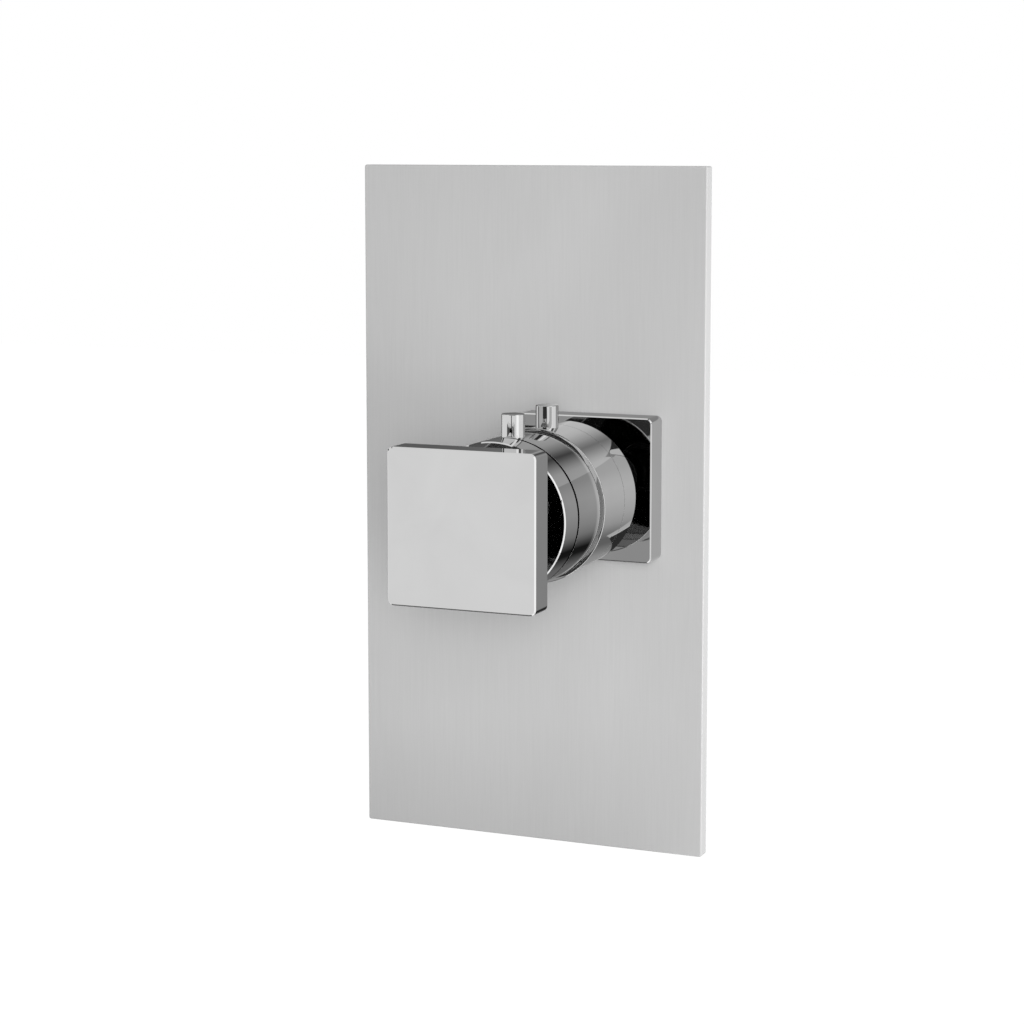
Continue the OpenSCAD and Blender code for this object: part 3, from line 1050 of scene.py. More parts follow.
@dataclass
class Rosette(Assembly):
    """The square cover, the carrier that holds it and the bearing of the outer shaft."""

    kept = {"base_gasket": RUBBER, "neck_oring": RUBBER}

    plate: WallPlate
    screw: ValveScrew = ValveScrew()
    width: float = 50.0
    corner: float = 2.0
    edge: float = 0.4
    wall: float = 2.5
    base_back: float = 5.6
    base_depth: float = 3.5
    base_width: float = 44.4
    boss: float = 12.07
    boss_front: float = 12.9
    reach: float = 3.0
    bush: float = 9.05
    bush_edge: float = 0.25
    grub: float = 1.5
    grub_dimple: float = 1.0
    gap: float = 0.3

    def build(self) -> None:
        """Builds the carrier, its screws, the cover, its grub screw and the bearing."""
        back, front = AXIS.rosette_back, AXIS.rosette_front
        base_front = self.base_back + self.base_depth
        self.piece("base_carrier", "rosette_base", BRASS, self.carrier(base_front))
        screws = [moved(self.screw.shape(base_front), at) for at in self.plate.screw_places()]
        self.piece("valve_screws", "base_screws", STEEL, joined(screws))
        grub_place = self.base_back + self.base_depth / 2
        inner = self.width - 2 * self.wall
        grub_drill = rod(self.grub + AXIS.seat_gap, 0, self.width, SCREW_STEPS)
        block = slab(
            self.width, self.width, back, front, self.corner, self.edge, edge_steps=CHAMFER,
        )
        cover = carved(block, [
            slab(inner, inner, back - PAST, front - self.wall, self.corner / 2),
            rod(self.bush + self.gap, 0, front + PAST, ROUND_STEPS),
            moved(grub_drill, across(Facing.DOWNWARD, grub_place)),
        ])
        self.piece("rosette_cover", "rosette", CHROME, cover)
        grub = GrubScrew(self.grub, self.width / 2 - self.gap, self.base_width / 2 - self.grub_dimple)
        self.piece(
            "rosette_set_screw", "rosette_grub_screw", STEEL, grub.shape(), Facing.DOWNWARD, grub_place,
        )
        inner_radius = AXIS.journal + AXIS.running_gap
        bearing = sleeve(inner_radius, self.bush, -self.reach, front, self.bush_edge, ROUND_STEPS)
        self.piece("guide_bearing", "guide_bush", ACETAL, bearing)

    def carrier(self, front: float) -> Shape:
        """Builds the square carrier with its boss and the countersunk holes.

        Args:
            front: Where its flat part ends.

        Returns:
            The shape along its own axis.
        """
        block = slab(
            self.base_width, self.base_width, self.base_back, front, self.corner, BREAK, BREAK,
        )
        boss = rod(self.boss, -self.reach, self.boss_front, ROUND_STEPS, BREAK)
        bore = rod(self.bush + AXIS.seat_gap, -self.reach - PAST, self.boss_front + PAST, ROUND_STEPS)
        rim, cone = self.plate.screw_hole, self.screw.head - self.screw.neck
        sink = [
            Corner(0, front - cone), Corner(rim, front - cone),
            Corner(rim + cone + PAST, front + PAST), Corner(0, front + PAST),
        ]
        sinks = [moved(turned(sink, SCREW_STEPS), at) for at in self.plate.screw_places()]
        whole = joined([carved(block, [boss.copy()]), boss])
        return carved(whole, [bore, *sinks, *self.plate.drills(0, front + PAST)])


@dataclass(frozen=True)
class Lever:
    """A short round pin with a threaded end, standing on a flat seat in a ring.

    Attributes:
        place: Distance of its axis from the wall.
        radius: Its radius.
        stand: How far it stands out of the ring.
        thread: Radius of its threaded end.
        thread_edge: Rounding of that end.
        seat: Depth of its seat.
        edge: Rounding of its top.
        gap: How far its end stays short of the ring's cavity.
    """

    place: float
    radius: float = 3.8
    stand: float = 7.25
    thread: float = 2.5
    thread_edge: float = 0.2
    seat: float = 0.5
    edge: float = 0.3
    gap: float = 0.3

    def shape(self) -> Shape:
        """Builds the pin.

        Returns:
            The shape along its own axis.
        """
        foot, top = AXIS.ring - self.seat, AXIS.ring + self.stand
        end = AXIS.cavity + self.gap
        return turned([
            Corner(0, end), Corner(self.thread, end, self.thread_edge), Corner(self.thread, foot),
            Corner(self.radius, foot), Corner(self.radius, top, self.edge), Corner(0, top),
        ], ROUND_STEPS)

    def tools(self, hub: float) -> list[Shape]:
        """Makes what the pin and the grub screw under it take out of their ring.

        Args:
            hub: Radius of the ring's hub.

        Returns:
            The cutting shapes, in the ring's own axes.
        """
        gap = AXIS.seat_gap
        seat = rod(self.radius + gap, AXIS.ring - self.seat, AXIS.ring + PAST, ROUND_STEPS)
        thread = rod(self.thread + gap, AXIS.cavity - PAST, AXIS.ring, THIN_STEPS)
        clamp = rod(AXIS.grub + gap, 0, hub + PAST, SCREW_STEPS)
        return [moved(tool, across(Facing.UPWARD, self.place)) for tool in (seat, thread, clamp)]


@dataclass
class Diverter(Assembly):
    """The rear control: cap, ring with a bead and lever, on the outer shaft."""

    body = Body.DIVERTER
    kept = {"diverter_grub_screw": STEEL, "flow_bush_front": ACETAL}

    lever: Lever = Lever(48.5)
    shaft: Shaft = Shaft(
        AXIS.journal, 5.15, -16.2, 61.4, -3.1, ROUND_STEPS, neck=(AXIS.neck, AXIS.neck_back),
    )
    edge: float = 0.4
    cap_floor: float = 3.0
    spigot: float = 3.0
    spigot_wall: float = 2.0
    hub: float = 12.0
    hub_back: float = 45.0
    bead_height: float = 1.0
    bead: float = 0.6
    bead_edge: float = 0.3
    groove: float = 0.8
    lip_gap: float = 0.3
    joint: float = 0.18
    joint_depth: float = 0.8
    joint_edge: float = 0.02
    glide_bore: float = 4.8
    glide_gap: float = 0.1
    glide_edge: float = 0.1

    def build(self) -> None:
        """Builds every piece that turns with the rear lever."""
        self.piece("outer_shaft", "diverter_tube", CHROME, self.shaft.tube())
        self.piece("rear_cap", "diverter_end_cap", CHROME, self.cap())
        self.piece("diverter_cup", "diverter_ring", CHROME, self.cup())
        pin = self.lever.shape()
        self.piece("diverter_lever", "diverter_pin", CHROME, pin, Facing.UPWARD, self.lever.place)
        self.piece("diverter_clip", "diverter_circlip", STEEL, self.shaft.clip_ring())
        ends = (AXIS.diverter_front, AXIS.flow_back - self.glide_gap)
        glide = sleeve(self.glide_bore, AXIS.ring - self.groove, *ends, self.glide_edge, RING_STEPS)
        self.piece("glide_washer", "ring_glide_washer", ACETAL, glide)
        self.piece("flow_bearing_rear", "flow_bush_rear", ACETAL, self.shaft.rear_bush(AXIS.flow_tube))

    def cap(self) -> Shape:
        """Turns the end cap with its spigot and the hairline joint to the ring.

        Returns:
            The shape along its own axis.
        """
        bore, seat = AXIS.neck + AXIS.seat_gap, AXIS.cavity - AXIS.seat_gap
        room = AXIS.cavity - self.spigot_wall
        back, front = AXIS.controls_back, AXIS.diverter_back
        spigot_front, inside = front + self.spigot, back + self.cap_floor
        return turned([
            Corner(bore, back, BREAK), Corner(AXIS.ring, back, self.edge),
            Corner(AXIS.ring, front - self.joint, self.joint_edge),
            Corner(AXIS.ring - self.joint_depth, front - self.joint),
            Corner(AXIS.ring - self.joint_depth, front), Corner(seat, front),
            Corner(seat, spigot_front, BREAK), Corner(room, spigot_front, BREAK),
            Corner(room, inside), Corner(bore, inside),
        ])

    def cup(self) -> Shape:
        """Turns the ring with its hub, its bead and the thin lip over the glide washer.

        Returns:
            The shape along its own axis.
        """
        bore = AXIS.neck + AXIS.seat_gap
        back, front = AXIS.diverter_back, AXIS.diverter_front
        web, lip_front = front - AXIS.web, AXIS.flow_back - self.lip_gap
        bead_back, bead_rim = front - 2 * self.bead, AXIS.ring + self.bead_height
        lip = AXIS.ring - self.groove + AXIS.seat_gap
        # The bead's back is round right up to the next corner, less a hair that keeps them apart.
        bead_round = self.bead - 10 * WELD
        cup = turned([
            Corner(bore, self.hub_back, BREAK), Corner(self.hub, self.hub_back, BREAK),
            Corner(self.hub, web), Corner(AXIS.cavity, web), Corner(AXIS.cavity, back),
            Corner(AXIS.ring, back, self.joint_edge), Corner(AXIS.ring, bead_back),
            Corner(bead_rim - self.bead, bead_back), Corner(bead_rim, bead_back, bead_round),
            Corner(bead_rim, front, self.bead_edge), Corner(AXIS.ring, front),
            Corner(AXIS.ring, lip_front, CRISP), Corner(lip, lip_front), Corner(lip, front),
            Corner(bore, front, BREAK),
        ])
        return carved(cup, self.lever.tools(self.hub))


@dataclass
class Flow(Assembly):
    """The middle control: a ring with its lever, on the middle shaft."""

    body = Body.FLOW
    kept = {"flow_grub_screw": STEEL, "flow_oring": RUBBER, "spindle_bush_front": ACETAL}

    lever: Lever = Lever(77.3)
    shaft: Shaft = Shaft(AXIS.flow_tube, 3.15, -29.4, 80.85, -16.3, SMALL_STEPS)
    edge: float = 0.12
    hub: float = 9.5
    hub_front: float = 81.35

    def build(self) -> None:
        """Builds every piece that turns with the front lever."""
        self.piece("middle_shaft", "flow_tube", BRASS, self.shaft.tube())
        bore, relief = AXIS.flow_tube + AXIS.seat_gap, AXIS.ring - AXIS.relief
        back, front = AXIS.flow_back, AXIS.flow_front
        cup = turned([
            Corner(bore, back, BREAK), Corner(AXIS.ring, back, self.edge),
            Corner(AXIS.ring, front - AXIS.relief_depth, CRISP),
            Corner(relief, front - AXIS.relief_depth), Corner(relief, front),
            Corner(AXIS.cavity, front, MOUTH), Corner(AXIS.cavity, back + AXIS.web),
            Corner(self.hub, back + AXIS.web), Corner(self.hub, self.hub_front, BREAK),
            Corner(bore, self.hub_front, BREAK),
        ])
        self.piece("flow_cup", "flow_ring", CHROME, carved(cup, self.lever.tools(self.hub)))
        pin = self.lever.shape()
        self.piece("flow_lever", "flow_pin", CHROME, pin, Facing.UPWARD, self.lever.place)
        self.piece("flow_clip", "flow_circlip", STEEL, self.shaft.clip_ring())
        self.piece("spindle_bearing_rear", "spindle_bush_rear", ACETAL, self.shaft.rear_bush(AXIS.spindle))


@dataclass
class Temperature(Assembly):
    """The front control: collar, stem and square knob, on the innermost shaft."""

    body = Body.TEMPERATURE
    kept = {"spindle_oring": RUBBER, "thrust_washer": ACETAL, "collar_nut": BRASS}

    shaft: Shaft = Shaft(AXIS.spindle, 0.0, -42.6, 103.0, -29.5, THIN_STEPS, edge=0.3)
    edge: float = 0.4
    spigot: float = 5.0
    spigot_back: float = 82.55
    stem: float = 7.0
    stem_room: float = 1.0
    knob_width: float = 50.0
    knob_corner: float = 2.0
    knob_edge: float = 0.45
    knob_thread: float = 4.0
    thread_length: float = 6.0
    flat_depth: float = 0.5
    flat_length: float = 5.0
    grub_place: float = 99.0
    gap: float = 0.3

    def build(self) -> None:
        """Builds every piece that turns with the knob."""
        self.piece("inner_shaft", "temperature_spindle", STEEL, self.spindle())
        bore, relief = self.spigot + AXIS.seat_gap, AXIS.ring - AXIS.relief
        back, front = AXIS.collar_back, AXIS.collar_front
        collar = turned([
            Corner(bore, front - AXIS.web), Corner(AXIS.cavity, front - AXIS.web),
            Corner(AXIS.cavity, back, MOUTH), Corner(relief, back),
            Corner(relief, back + AXIS.relief_depth), Corner(AXIS.ring, back + AXIS.relief_depth, CRISP),
            Corner(AXIS.ring, front - self.edge), Corner(AXIS.ring - self.edge, front),
            Corner(bore, front),
        ])
        self.piece("front_collar", "temperature_collar", CHROME, collar)
        hollow = AXIS.spindle + AXIS.seat_gap
        end, hollow_end = AXIS.knob_back + self.thread_length, self.shaft.front + self.stem_room
        stem = turned([
            Corner(hollow, self.spigot_back), Corner(self.spigot, self.spigot_back, BREAK),
            Corner(self.spigot, front), Corner(self.stem, front, BREAK),
            Corner(self.stem, AXIS.knob_back, BREAK), Corner(self.knob_thread, AXIS.knob_back),
            Corner(self.knob_thread, end, BREAK), Corner(0, end), Corner(0, hollow_end),
            Corner(hollow, hollow_end),
        ], ROUND_STEPS)
        grub_drill = rod(AXIS.grub + AXIS.seat_gap, 0, self.stem + PAST, SCREW_STEPS)
        stem = carved(stem, [moved(grub_drill, across(Facing.DOWNWARD, self.grub_place))])
        self.piece("knob_stem_turned", "knob_stem", CHROME, stem)
        knob = slab(
            self.knob_width, self.knob_width, AXIS.knob_back, AXIS.knob_front, self.knob_corner,
            self.knob_edge, self.knob_edge, CHAMFER,
        )
        drill = rod(self.knob_thread + AXIS.seat_gap, AXIS.knob_back - PAST, end + self.gap)
        self.piece("knob_block", "knob_head", CHROME, carved(knob, [drill]))
        grub = GrubScrew(AXIS.grub, self.stem - self.gap, hollow).shape()
        self.piece("stem_set_screw", "stem_grub_screw", STEEL, grub, Facing.DOWNWARD, self.grub_place)
        self.piece("spindle_clip", "spindle_circlip", STEEL, self.shaft.clip_ring())

    def spindle(self) -> Shape:
        """Builds the innermost shaft with the flat that drives the valve.

        Returns:
            The shape along its own axis.
        """
        back, wide = self.shaft.back, 2 * AXIS.spindle
        room = slab(2 * wide, wide, back - PAST, back + self.flat_length)
        return carved(self.shaft.bar(), [moved(room, Matrix.Translation((0, wide - self.flat_depth, 0)))])


# Studio


def hang(name: str, work: Shape, material: bpy.types.Material) -> None:
    """Hangs a glowing card that only mirror reflections show: a painted reflection in the chrome.

    Args:
        name: The card's name.
        work: Its shape in millimetres, where it hangs.
        material: Its surface.
    """
    card = as_object(name, moved(work, Matrix.Scale(MM, 4)))
    card.data.materials.append(material)
    card.visible_camera = card.visible_diffuse = card.visible_shadow = False
    card.visible_transmission = card.visible_volume_scatter = False


def rectangle(left: float, right: float, low: float, high: float) -> Shape:
    """Makes an upright rectangle at the wall that faces the room.

    Args:
        left: Its left edge, in millimetres.
        right: Its right edge.
        low: Its lower edge.
        high: Its upper edge.

    Returns:
        The shape.
    """
    work = bmesh.new()
    bmesh.ops.create_grid(work, x_segments=1, y_segments=1, size=0.5)
    bmesh.ops.scale(work, vec=(right - left, high - low, 1.0), verts=work.verts)
    bmesh.ops.translate(work, vec=((left + right) / 2, (low + high) / 2, 0), verts=work.verts)
    return moved(work, placement(Facing.OUTWARD))


def one_sided(name: str) -> tuple[bpy.types.Material, bpy.types.Node]:
    """Makes a glowing material that can't be seen from behind.

    Args:
        name: The material's name.

    Returns:
        The material and its glowing shader.
    """
    material = bpy.data.materials.new(name)
    material.use_nodes = True
    material.cycles.emission_sampling = "NONE"
    tree = material.node_tree
    tree.nodes.clear()
    shine = add_node(tree, "ShaderNodeEmission", {"Color": WHITE})
    clear = add_node(tree, "ShaderNodeBsdfTransparent")
    behind = add_node(tree, "ShaderNodeNewGeometry").outputs["Backfacing"]
    mix = add_node(tree, "ShaderNodeMixShader", {0: behind, 1: shine.outputs[0], 2: clear.outputs[0]})
    add_node(tree, "ShaderNodeOutputMaterial", {"Surface": mix.outputs[0]})
    return material, shine


@dataclass(frozen=True)
class Gradient:
    """Brightness at some angles, for surroundings that change smoothly.

    Attributes:
        levels: Pairs of an angle in degrees, from -180 to 180, and a brightness.
    """

    levels: tuple[Pair, ...]

    def add(self, tree: Tree, angle: Socket) -> Socket:
        """Adds the ramp.

        Args:
            tree: The node tree that gets it.
            angle: The angle, in radians from -pi to pi.

        Returns:
            The brightness.
        """
        turns = {"Value": angle, "From Min": -math.pi, "From Max": math.pi, "To Min": 0.0, "To Max": 1.0}
        place = add_node(tree, "ShaderNodeMapRange", turns).outputs["Result"]
        ramp = add_node(tree, "ShaderNodeValToRGB", {"Fac": place})
        stops = ramp.color_ramp.elements
        for degrees, _ in self.levels[1:-1]:
            stops.new((degrees + 180) / 360)
        for stop, (degrees, level) in zip(stops, self.levels):
            stop.position = (degrees + 180) / 360
            stop.color = (level, level, level, 1.0)
        return ramp.outputs["Color"]


@dataclass(frozen=True)
class WallCard:
    """A graded card just in front of the plate, which only mirrors facing the wall can see.

    It glows, and only the chrome sees it, in place of the plate: its grades are a painted reflection, which
    paints the bands and levels that the rings, the rosette and the knob mirror. Its brightness follows the
    angle round a middle point, with a straight fold on one side, and it gets dimmer outwards. Places and
    sizes are in millimetres.

    Attributes:
        place: Its distance from the wall.
        edges: Its left, right, low and high edge.
        middle: X and Z of the point that the angle is taken round.
        ring_middle: X and Z of the point that the distance is taken from.
        below: Brightness below the fold, by angle.
        above: Brightness above the fold, by angle.
        fold: X and Z of a point on the fold, and its slope.
        fold_soft: Half the width of the fold's change.
        inner_edge: Distance over which the inner part goes into the outer one.
        inner_level: Factor and lift of the inner part's brightness.
        outer_fade: Distance over which the outer part gets dimmer.
        outer_level: Share of its brightness that is left there.
        rosette_edge: Distance over which the square round the rosette goes into the rest.
        rosette_top: Height over which that square changes.
        rosette_levels: Its brightness beside and above the rosette.
        knob_edge: X over which the card goes into the part beside the knob.
        knob_rise: Height over which that part changes.
        knob_levels: Its brightness at the low and at the high end.
    """

    place: float = 5.2
    edges: tuple[float, float, float, float] = (-150.0, 78.0, -150.0, 150.0)
    middle: Pair = (8.0, 2.0)
    ring_middle: Pair = (5.0, 1.6)
    below: Gradient = Gradient((
        (-180, 0.30), (-160, 0.45), (-140, 0.40), (-120, 0.28), (-104, 0.15), (-88, 0.15), (-76, 0.07),
        (-68, 0.012), (-60, 0.01), (-52, 0.08), (-40, 0.235), (-28, 0.32), (-10, 0.40), (8, 0.435),
        (20, 0.41), (32, 0.35), (50, 0.32), (180, 0.30),
    ))
    above: Gradient = Gradient((
        (-180, 0.30), (0, 0.45), (30, 0.50), (44, 0.475), (50, 0.45), (56, 0.355), (62, 0.245),
        (68, 0.14), (74, 0.065), (80, 0.14), (86, 0.24), (98, 0.40), (106, 0.44), (117, 0.42),
        (122, 0.45), (129, 0.19), (140, 0.17), (152, 0.14), (170, 0.15), (180, 0.30),
    ))
    fold: Triple = (25.0, 25.2, 0.255)
    fold_soft: float = 0.25
    inner_edge: Pair = (44.4, 45.0)
    inner_level: Pair = (1.12, 0.14)
    outer_fade: Pair = (46.0, 68.0)
    outer_level: float = 0.85
    rosette_edge: Pair = (28.4, 28.9)
    rosette_top: Pair = (24.8, 25.2)
    rosette_levels: Pair = (0.52, 0.29)
    knob_edge: Pair = (60.0, 68.0)
    knob_rise: Pair = (-35.0, 8.0)
    knob_levels: Pair = (0.315, 0.345)

    def build(self) -> None:
        """Hangs the card and makes its graded surface."""
        material, shine = one_sided("graded_painted_reflection")
        tree = material.node_tree

        def maths(operation: str, *values: Socket | float) -> Socket:
            """Adds one step of arithmetic."""
            return add_node(tree, "ShaderNodeMath", dict(enumerate(values)), operation=operation).outputs[0]

        def ramp(value: Socket, places: Pair, levels: Pair = (0.0, 1.0)) -> Socket:
            """Adds a straight change from one level to another between two places."""
            inputs = dict(enumerate((value, *places, *levels)))
            return add_node(tree, "ShaderNodeMapRange", inputs).outputs[0]

        def blend(share: Socket, first: Socket | float, second: Socket | float) -> Socket:
            """Mixes two brightnesses."""
            return maths("MULTIPLY_ADD", maths("SUBTRACT", second, first), share, first)

        place = add_node(tree, "ShaderNodeTexCoord").outputs["Object"]
        mm = add_node(tree, "ShaderNodeMapping", {"Vector": place, "Scale": (1 / MM, 1 / MM, 1 / MM)})
        axes = add_node(tree, "ShaderNodeSeparateXYZ", {0: mm.outputs[0]})
        x, z = axes.outputs["X"], axes.outputs["Z"]
        sideways, up = maths("SUBTRACT", x, self.middle[0]), maths("SUBTRACT", z, self.middle[1])
        angle = maths("ARCTAN2", up, sideways)
        ring_x, ring_z = self.ring_middle
        from_ring = {"X": maths("SUBTRACT", x, ring_x), "Y": maths("SUBTRACT", z, ring_z)}
        flat = add_node(tree, "ShaderNodeCombineXYZ", from_ring).outputs[0]
        distance = add_node(tree, "ShaderNodeVectorMath", {0: flat}, operation="LENGTH").outputs["Value"]
        fold_x, fold_z, slope = self.fold
        line = maths("MULTIPLY_ADD", x, slope, fold_z - fold_x * slope)
        over_fold = ramp(maths("SUBTRACT", z, line), (-self.fold_soft, self.fold_soft))
        base = blend(over_fold, self.below.add(tree, angle), self.above.add(tree, angle))
        inner = maths("MULTIPLY_ADD", base, *self.inner_level)
        outer = maths("MULTIPLY", base, ramp(distance, self.outer_fade, (1.0, self.outer_level)))
        level = blend(ramp(distance, self.inner_edge), inner, outer)
        farthest = maths("MAXIMUM", maths("ABSOLUTE", x), maths("ABSOLUTE", z))
        near_rosette = ramp(farthest, self.rosette_edge, (1.0, 0.0))
        level = blend(near_rosette, level, ramp(z, self.rosette_top, self.rosette_levels))
        level = blend(ramp(x, self.knob_edge), level, ramp(z, self.knob_rise, self.knob_levels))
        # This level is a painted reflection: the chrome mirrors it where it would mirror the plate and the
        # rosette.
        tree.links.new(level, shine.inputs["Strength"])
        card = moved(rectangle(*self.edges), Matrix.Translation((0, -self.place, 0)))
        hang("painted_reflection_card", card, material)


@dataclass(frozen=True)
class Flag:
    """A flat grey or black glowing card that faces the object, on the room's side unless another is given,
    and paints a reflection into the chrome.

    Attributes:
        name: The card's name.
        place: How far its plane is from the frame's zero, in millimetres.
        level: Its brightness, where 1 is white.
        panels: Left, right, low and high edge of its rectangles, in millimetres, before the turn.
        half_ring: Inner and outer radius of a half ring to the left of the control axis, or nothing.
        side: The side that it hangs on.
    """

    name: str
    place: float
    level: float
    panels: tuple[tuple[float, float, float, float], ...] = ()
    half_ring: Pair | None = None
    side: Side = Side.ROOM

    def build(self) -> None:
        """Cuts the card and hangs it."""
        parts = [rectangle(*edges) for edges in self.panels]
        if self.half_ring:
            ring = bmesh.new()
            ring.edges.new([ring.verts.new((0.0, radius, 0.0)) for radius in self.half_ring])
            spun(ring, math.pi, SMALL_STEPS)
            parts.append(moved(ring, placement(Facing.OUTWARD)))
        work = moved(joined(parts), Matrix.Translation((0, -self.place, 0)))
        turned_over = [face for face in work.faces if face.normal.y < 0]
        bmesh.ops.reverse_faces(work, faces=turned_over)
        turn, axis = self.side.value
        work = moved(work, Matrix.Rotation(math.radians(turn), 4, axis))
        material, shine = one_sided(self.name)
        shine.inputs["Strength"].default_value = self.level
        hang(self.name, work, material)


# Glowing cards that only mirrors see: painted dark, grey and pale reflections in the chrome.
FLAGS = (
    Flag("grey_flag_beside_rings", 74.0, 0.40, ((0, 20, -38, -26),), (26.0, 72.0)),
    Flag("black_flag_between_pins", 73.4, 0.04, ((-8, 9, 25.4, 40),)),
    Flag("pale_flag_left_of_pins", 73.6, 0.58, ((-50, -8, 20.5, 40),)),
    Flag("pale_flag_right_of_pins", 73.6, 0.60, ((24, 70, 18, 32),)),
    Flag("grey_flag_far_left", 73.8, 0.26, ((-400, -50, -30, 40),)),
    Flag("black_flag_left_of_rings", 73.9, 0.03, ((-50, -27, 4, 13.4),)),
    Flag("dark_flag_beside_knob", 110.0, 0.40, ((30, 60, -26, 18), (15, 60, -42, -26))),
    Flag("dark_flag_below", 150.0, 0.17, ((-140, 20, 5, 180),), side=Side.BELOW),
    Flag("black_flag_round_knob", 118.5, 0.05, (
        (1.6, 6.6, 20, 30), (-15, 40, 40, 130), (0, 80, -110, 3), (-32, 0, -70, -27),
    )),
    Flag("dark_strip_on_the_left", 450.0, 0.12, ((-40, 180, 60, 160),), side=Side.LEFT),
    Flag("dark_strip_on_the_right", 450.0, 0.12, ((-180, 40, 60, 160),), side=Side.RIGHT),
    Flag(
        "dark_strips_overhead", 450.0, 0.12, ((-430, -290, -180, 40), (30, 140, -180, 40)),
        side=Side.ABOVE,
    ),
)


@dataclass(frozen=True)
class Softbox:
    """A rectangular lamp that is turned to the controls.

    Attributes:
        name: Its name.
        where: Its place, in metres.
        size: Its width and height, in metres.
        power: Its power, in watts.
        mirrored: Whether mirrors show it.
        target: The point that it is turned to, in metres.
    """

    name: str
    where: Triple
    size: Pair
    power: float
    mirrored: bool = False
    target: Triple = (0.01, -0.05, 0.0)

    def build(self) -> None:
        """Makes the lamp and hangs it."""
        lamp = bpy.data.lights.new(self.name, "AREA")
        lamp.shape, lamp.energy = "RECTANGLE", self.power
        lamp.size, lamp.size_y = self.size
        hang_lamp(lamp, self.where, self.target, self.mirrored)


SOFTBOXES = (
    Softbox("tall_softbox", (0.33, -0.225, 0.02), (0.16, 0.60), 0.13, mirrored=True),
    Softbox("camera_softbox", (0.32, -0.78, 0.13), (0.25, 0.40), 4.1),
    Softbox("edge_softbox", (0.45, 0.02, 0.0), (0.1, 0.4), 1.5),
)


def hang_lamp(lamp: bpy.types.Light, where: Triple, target: Triple, mirrored: bool) -> None:
    """Hangs one lamp.

    Args:
        lamp: The lamp.
        where: Its place, in metres.
        target: The point that it is turned to, in metres.
        mirrored: Whether mirrors show it.
    """
    holder = bpy.data.objects.new(lamp.name, lamp)
    holder.location = where
    towards = Vector(target) - holder.location
    holder.rotation_euler = towards.to_track_quat("-Z", "Y").to_euler()
    holder.visible_camera, holder.visible_glossy = False, mirrored
    bpy.context.scene.collection.objects.link(holder)


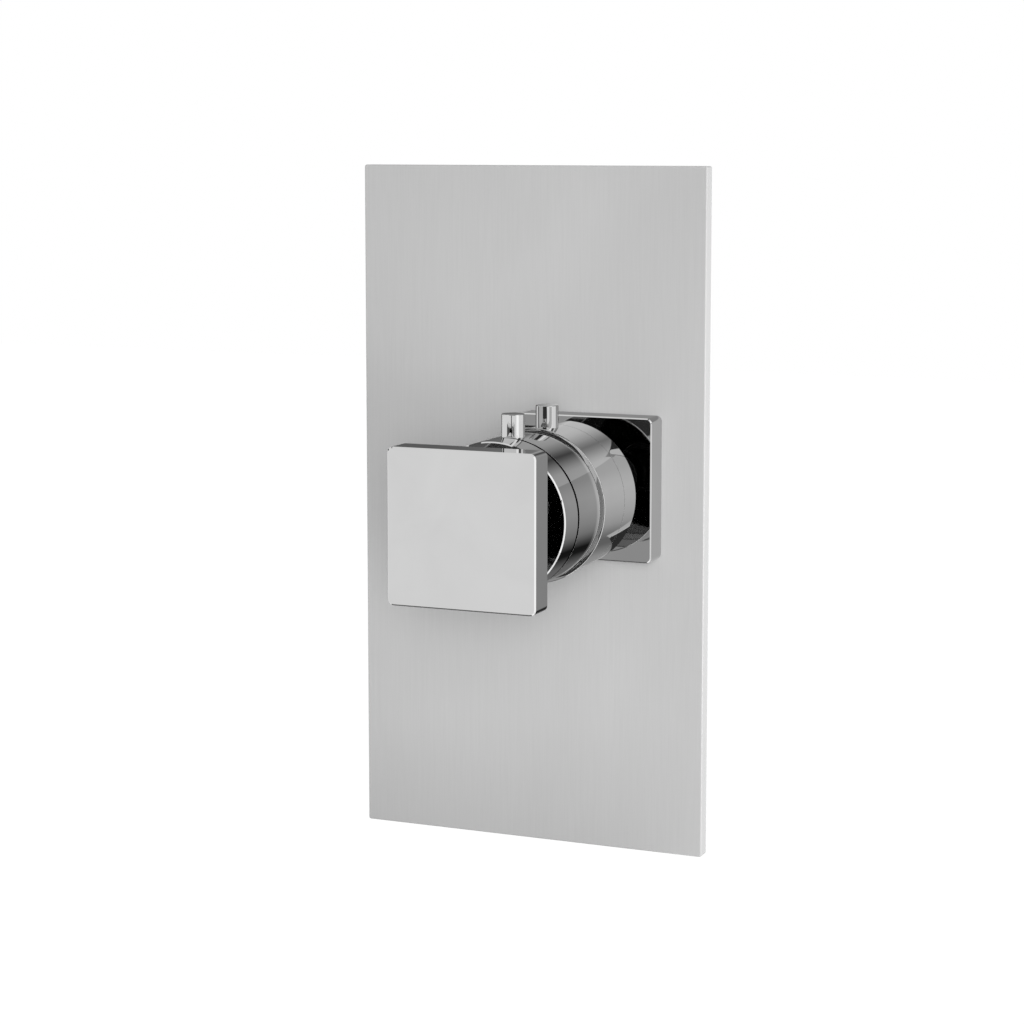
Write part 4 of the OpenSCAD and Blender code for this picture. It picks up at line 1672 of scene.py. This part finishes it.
@dataclass
class Studio:
    """The surroundings, the floor, the lamps, the cards and the camera.

    Attributes:
        daylight: Strength of the even light from all round.
        floor_level: Height of the floor, in metres.
        floor_size: Its width, in metres.
        floor_colour: Its paint, as an sRGB hex value.
        floor_glow: What it adds to its own light where the camera sees it, so that it looks white.
        spot_where: Place of the spot lamp for the plate, in metres.
        spot_target: The point that it is turned to, in metres.
        spot_power: Its power, in watts.
        spot_radius: Its radius, in metres.
        spot_angle: Width of its cone, in degrees.
        camera_where: The camera's place, in metres.
        camera_turn: Its pitch and its heading, in degrees.
        camera_shift: How far its picture is shifted up, as a share of its width.
        camera_reach: The nearest and the farthest distance that it sees, in metres.
        focal_pixels: Its focal length in pixels of the photograph.
        picture_pixels: Width of the photograph in pixels.
        sensor: Width of its sensor, in millimetres.
    """

    daylight: float = 0.5
    floor_level: float = -0.55
    floor_size: float = 12.0
    floor_colour: str = "#EFEFEF"
    floor_glow: float = 0.58
    spot_where: Triple = (0.31, -0.78, 0.12)
    spot_target: Triple = (0.0, 0.0, -0.025)
    spot_power: float = 12.0
    spot_radius: float = 0.08
    spot_angle: float = 21.0
    camera_where: Triple = (0.3109, -0.8122, 0.1206)
    camera_turn: Pair = (-6.71, 22.96)
    camera_shift: float = -0.08
    camera_reach: Pair = (0.05, 50.0)
    focal_pixels: float = 2499.0
    picture_pixels: float = 1024.0
    sensor: float = 36.0

    def build(self) -> None:
        """Builds the whole studio."""
        self.build_world()
        self.build_floor()
        for softbox in SOFTBOXES:
            softbox.build()
        self.build_spot()
        self.build_camera()
        WallCard().build()
        for flag in FLAGS:
            flag.build()

    def seen_white(self, tree: Tree, lit: Socket, shown: Socket) -> Socket:
        """Adds a switch that shows one shader to the camera, metal and glass, and another to light.

        Args:
            tree: The node tree that gets it.
            lit: The shader that lights the object.
            shown: The shader that is seen.

        Returns:
            The shader that holds for each ray.
        """
        path = add_node(tree, "ShaderNodeLightPath")
        seen = path.outputs["Is Camera Ray"]
        for other in ("Is Glossy Ray", "Is Transmission Ray"):
            either = {0: seen, 1: path.outputs[other]}
            seen = add_node(tree, "ShaderNodeMath", either, operation="MAXIMUM").outputs[0]
        return add_node(tree, "ShaderNodeMixShader", {0: seen, 1: lit, 2: shown}).outputs[0]

    def build_world(self) -> None:
        """Makes the surroundings: white to look at, and a plain even light."""
        world = bpy.data.worlds.new("studio_surroundings")
        bpy.context.scene.world = world
        world.use_nodes = True
        tree = world.node_tree
        tree.nodes.clear()
        lit, shown = [
            add_node(tree, "ShaderNodeBackground", {"Color": WHITE, "Strength": strength}).outputs[0]
            for strength in (self.daylight, 1.0)
        ]
        add_node(tree, "ShaderNodeOutputWorld", {"Surface": self.seen_white(tree, lit, shown)})

    def build_floor(self) -> None:
        """Makes the pale floor, which looks white and keeps the object's shadow."""
        work = bmesh.new()
        bmesh.ops.create_grid(work, x_segments=1, y_segments=1, size=self.floor_size / 2)
        floor = as_object("floor", moved(work, Matrix.Translation((0, 0, self.floor_level))))
        material = bpy.data.materials.new("matt_white_floor")
        material.use_nodes = True
        tree = material.node_tree
        tree.nodes.clear()
        colour = linear(self.floor_colour)
        paint = add_node(tree, "ShaderNodeBsdfDiffuse", {"Color": colour}).outputs[0]
        glow = add_node(tree, "ShaderNodeEmission", {"Color": WHITE, "Strength": self.floor_glow})
        both = add_node(tree, "ShaderNodeAddShader", {0: paint, 1: glow.outputs[0]}).outputs[0]
        add_node(tree, "ShaderNodeOutputMaterial", {"Surface": self.seen_white(tree, paint, both)})
        floor.data.materials.append(material)

    def build_spot(self) -> None:
        """Hangs the spot lamp beside the camera that lights the plate."""
        spot = bpy.data.lights.new("plate_spot", "SPOT")
        spot.energy, spot.shadow_soft_size = self.spot_power, self.spot_radius
        spot.spot_size, spot.spot_blend = math.radians(self.spot_angle), 1.0
        hang_lamp(spot, self.spot_where, self.spot_target, mirrored=False)

    def build_camera(self) -> None:
        """Puts the camera at the photograph's viewpoint."""
        camera = bpy.data.cameras.new("camera")
        camera.lens = self.focal_pixels / self.picture_pixels * self.sensor
        camera.sensor_width = self.sensor
        camera.shift_y = self.camera_shift
        camera.clip_start, camera.clip_end = self.camera_reach
        pitch, heading = self.camera_turn
        holder = bpy.data.objects.new("camera", camera)
        holder.location = self.camera_where
        holder.rotation_euler = (math.radians(90 + pitch), 0.0, math.radians(heading))
        bpy.context.scene.collection.objects.link(holder)
        bpy.context.scene.camera = holder


def main() -> None:
    """Builds the trim set round the frame, dresses what stays of it and lights it."""
    logging.basicConfig(level=logging.INFO, format="%(name)s: %(message)s")
    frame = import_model()
    bpy.context.scene.view_settings.view_transform = "Standard"
    plate = WallPlate()
    for assembly in (plate, Rosette(plate), Diverter(), Flow(), Temperature()):
        assembly.build()
        assembly.dress(frame["nodes"])
    Studio().build()


if __name__ == "__main__":
    main()
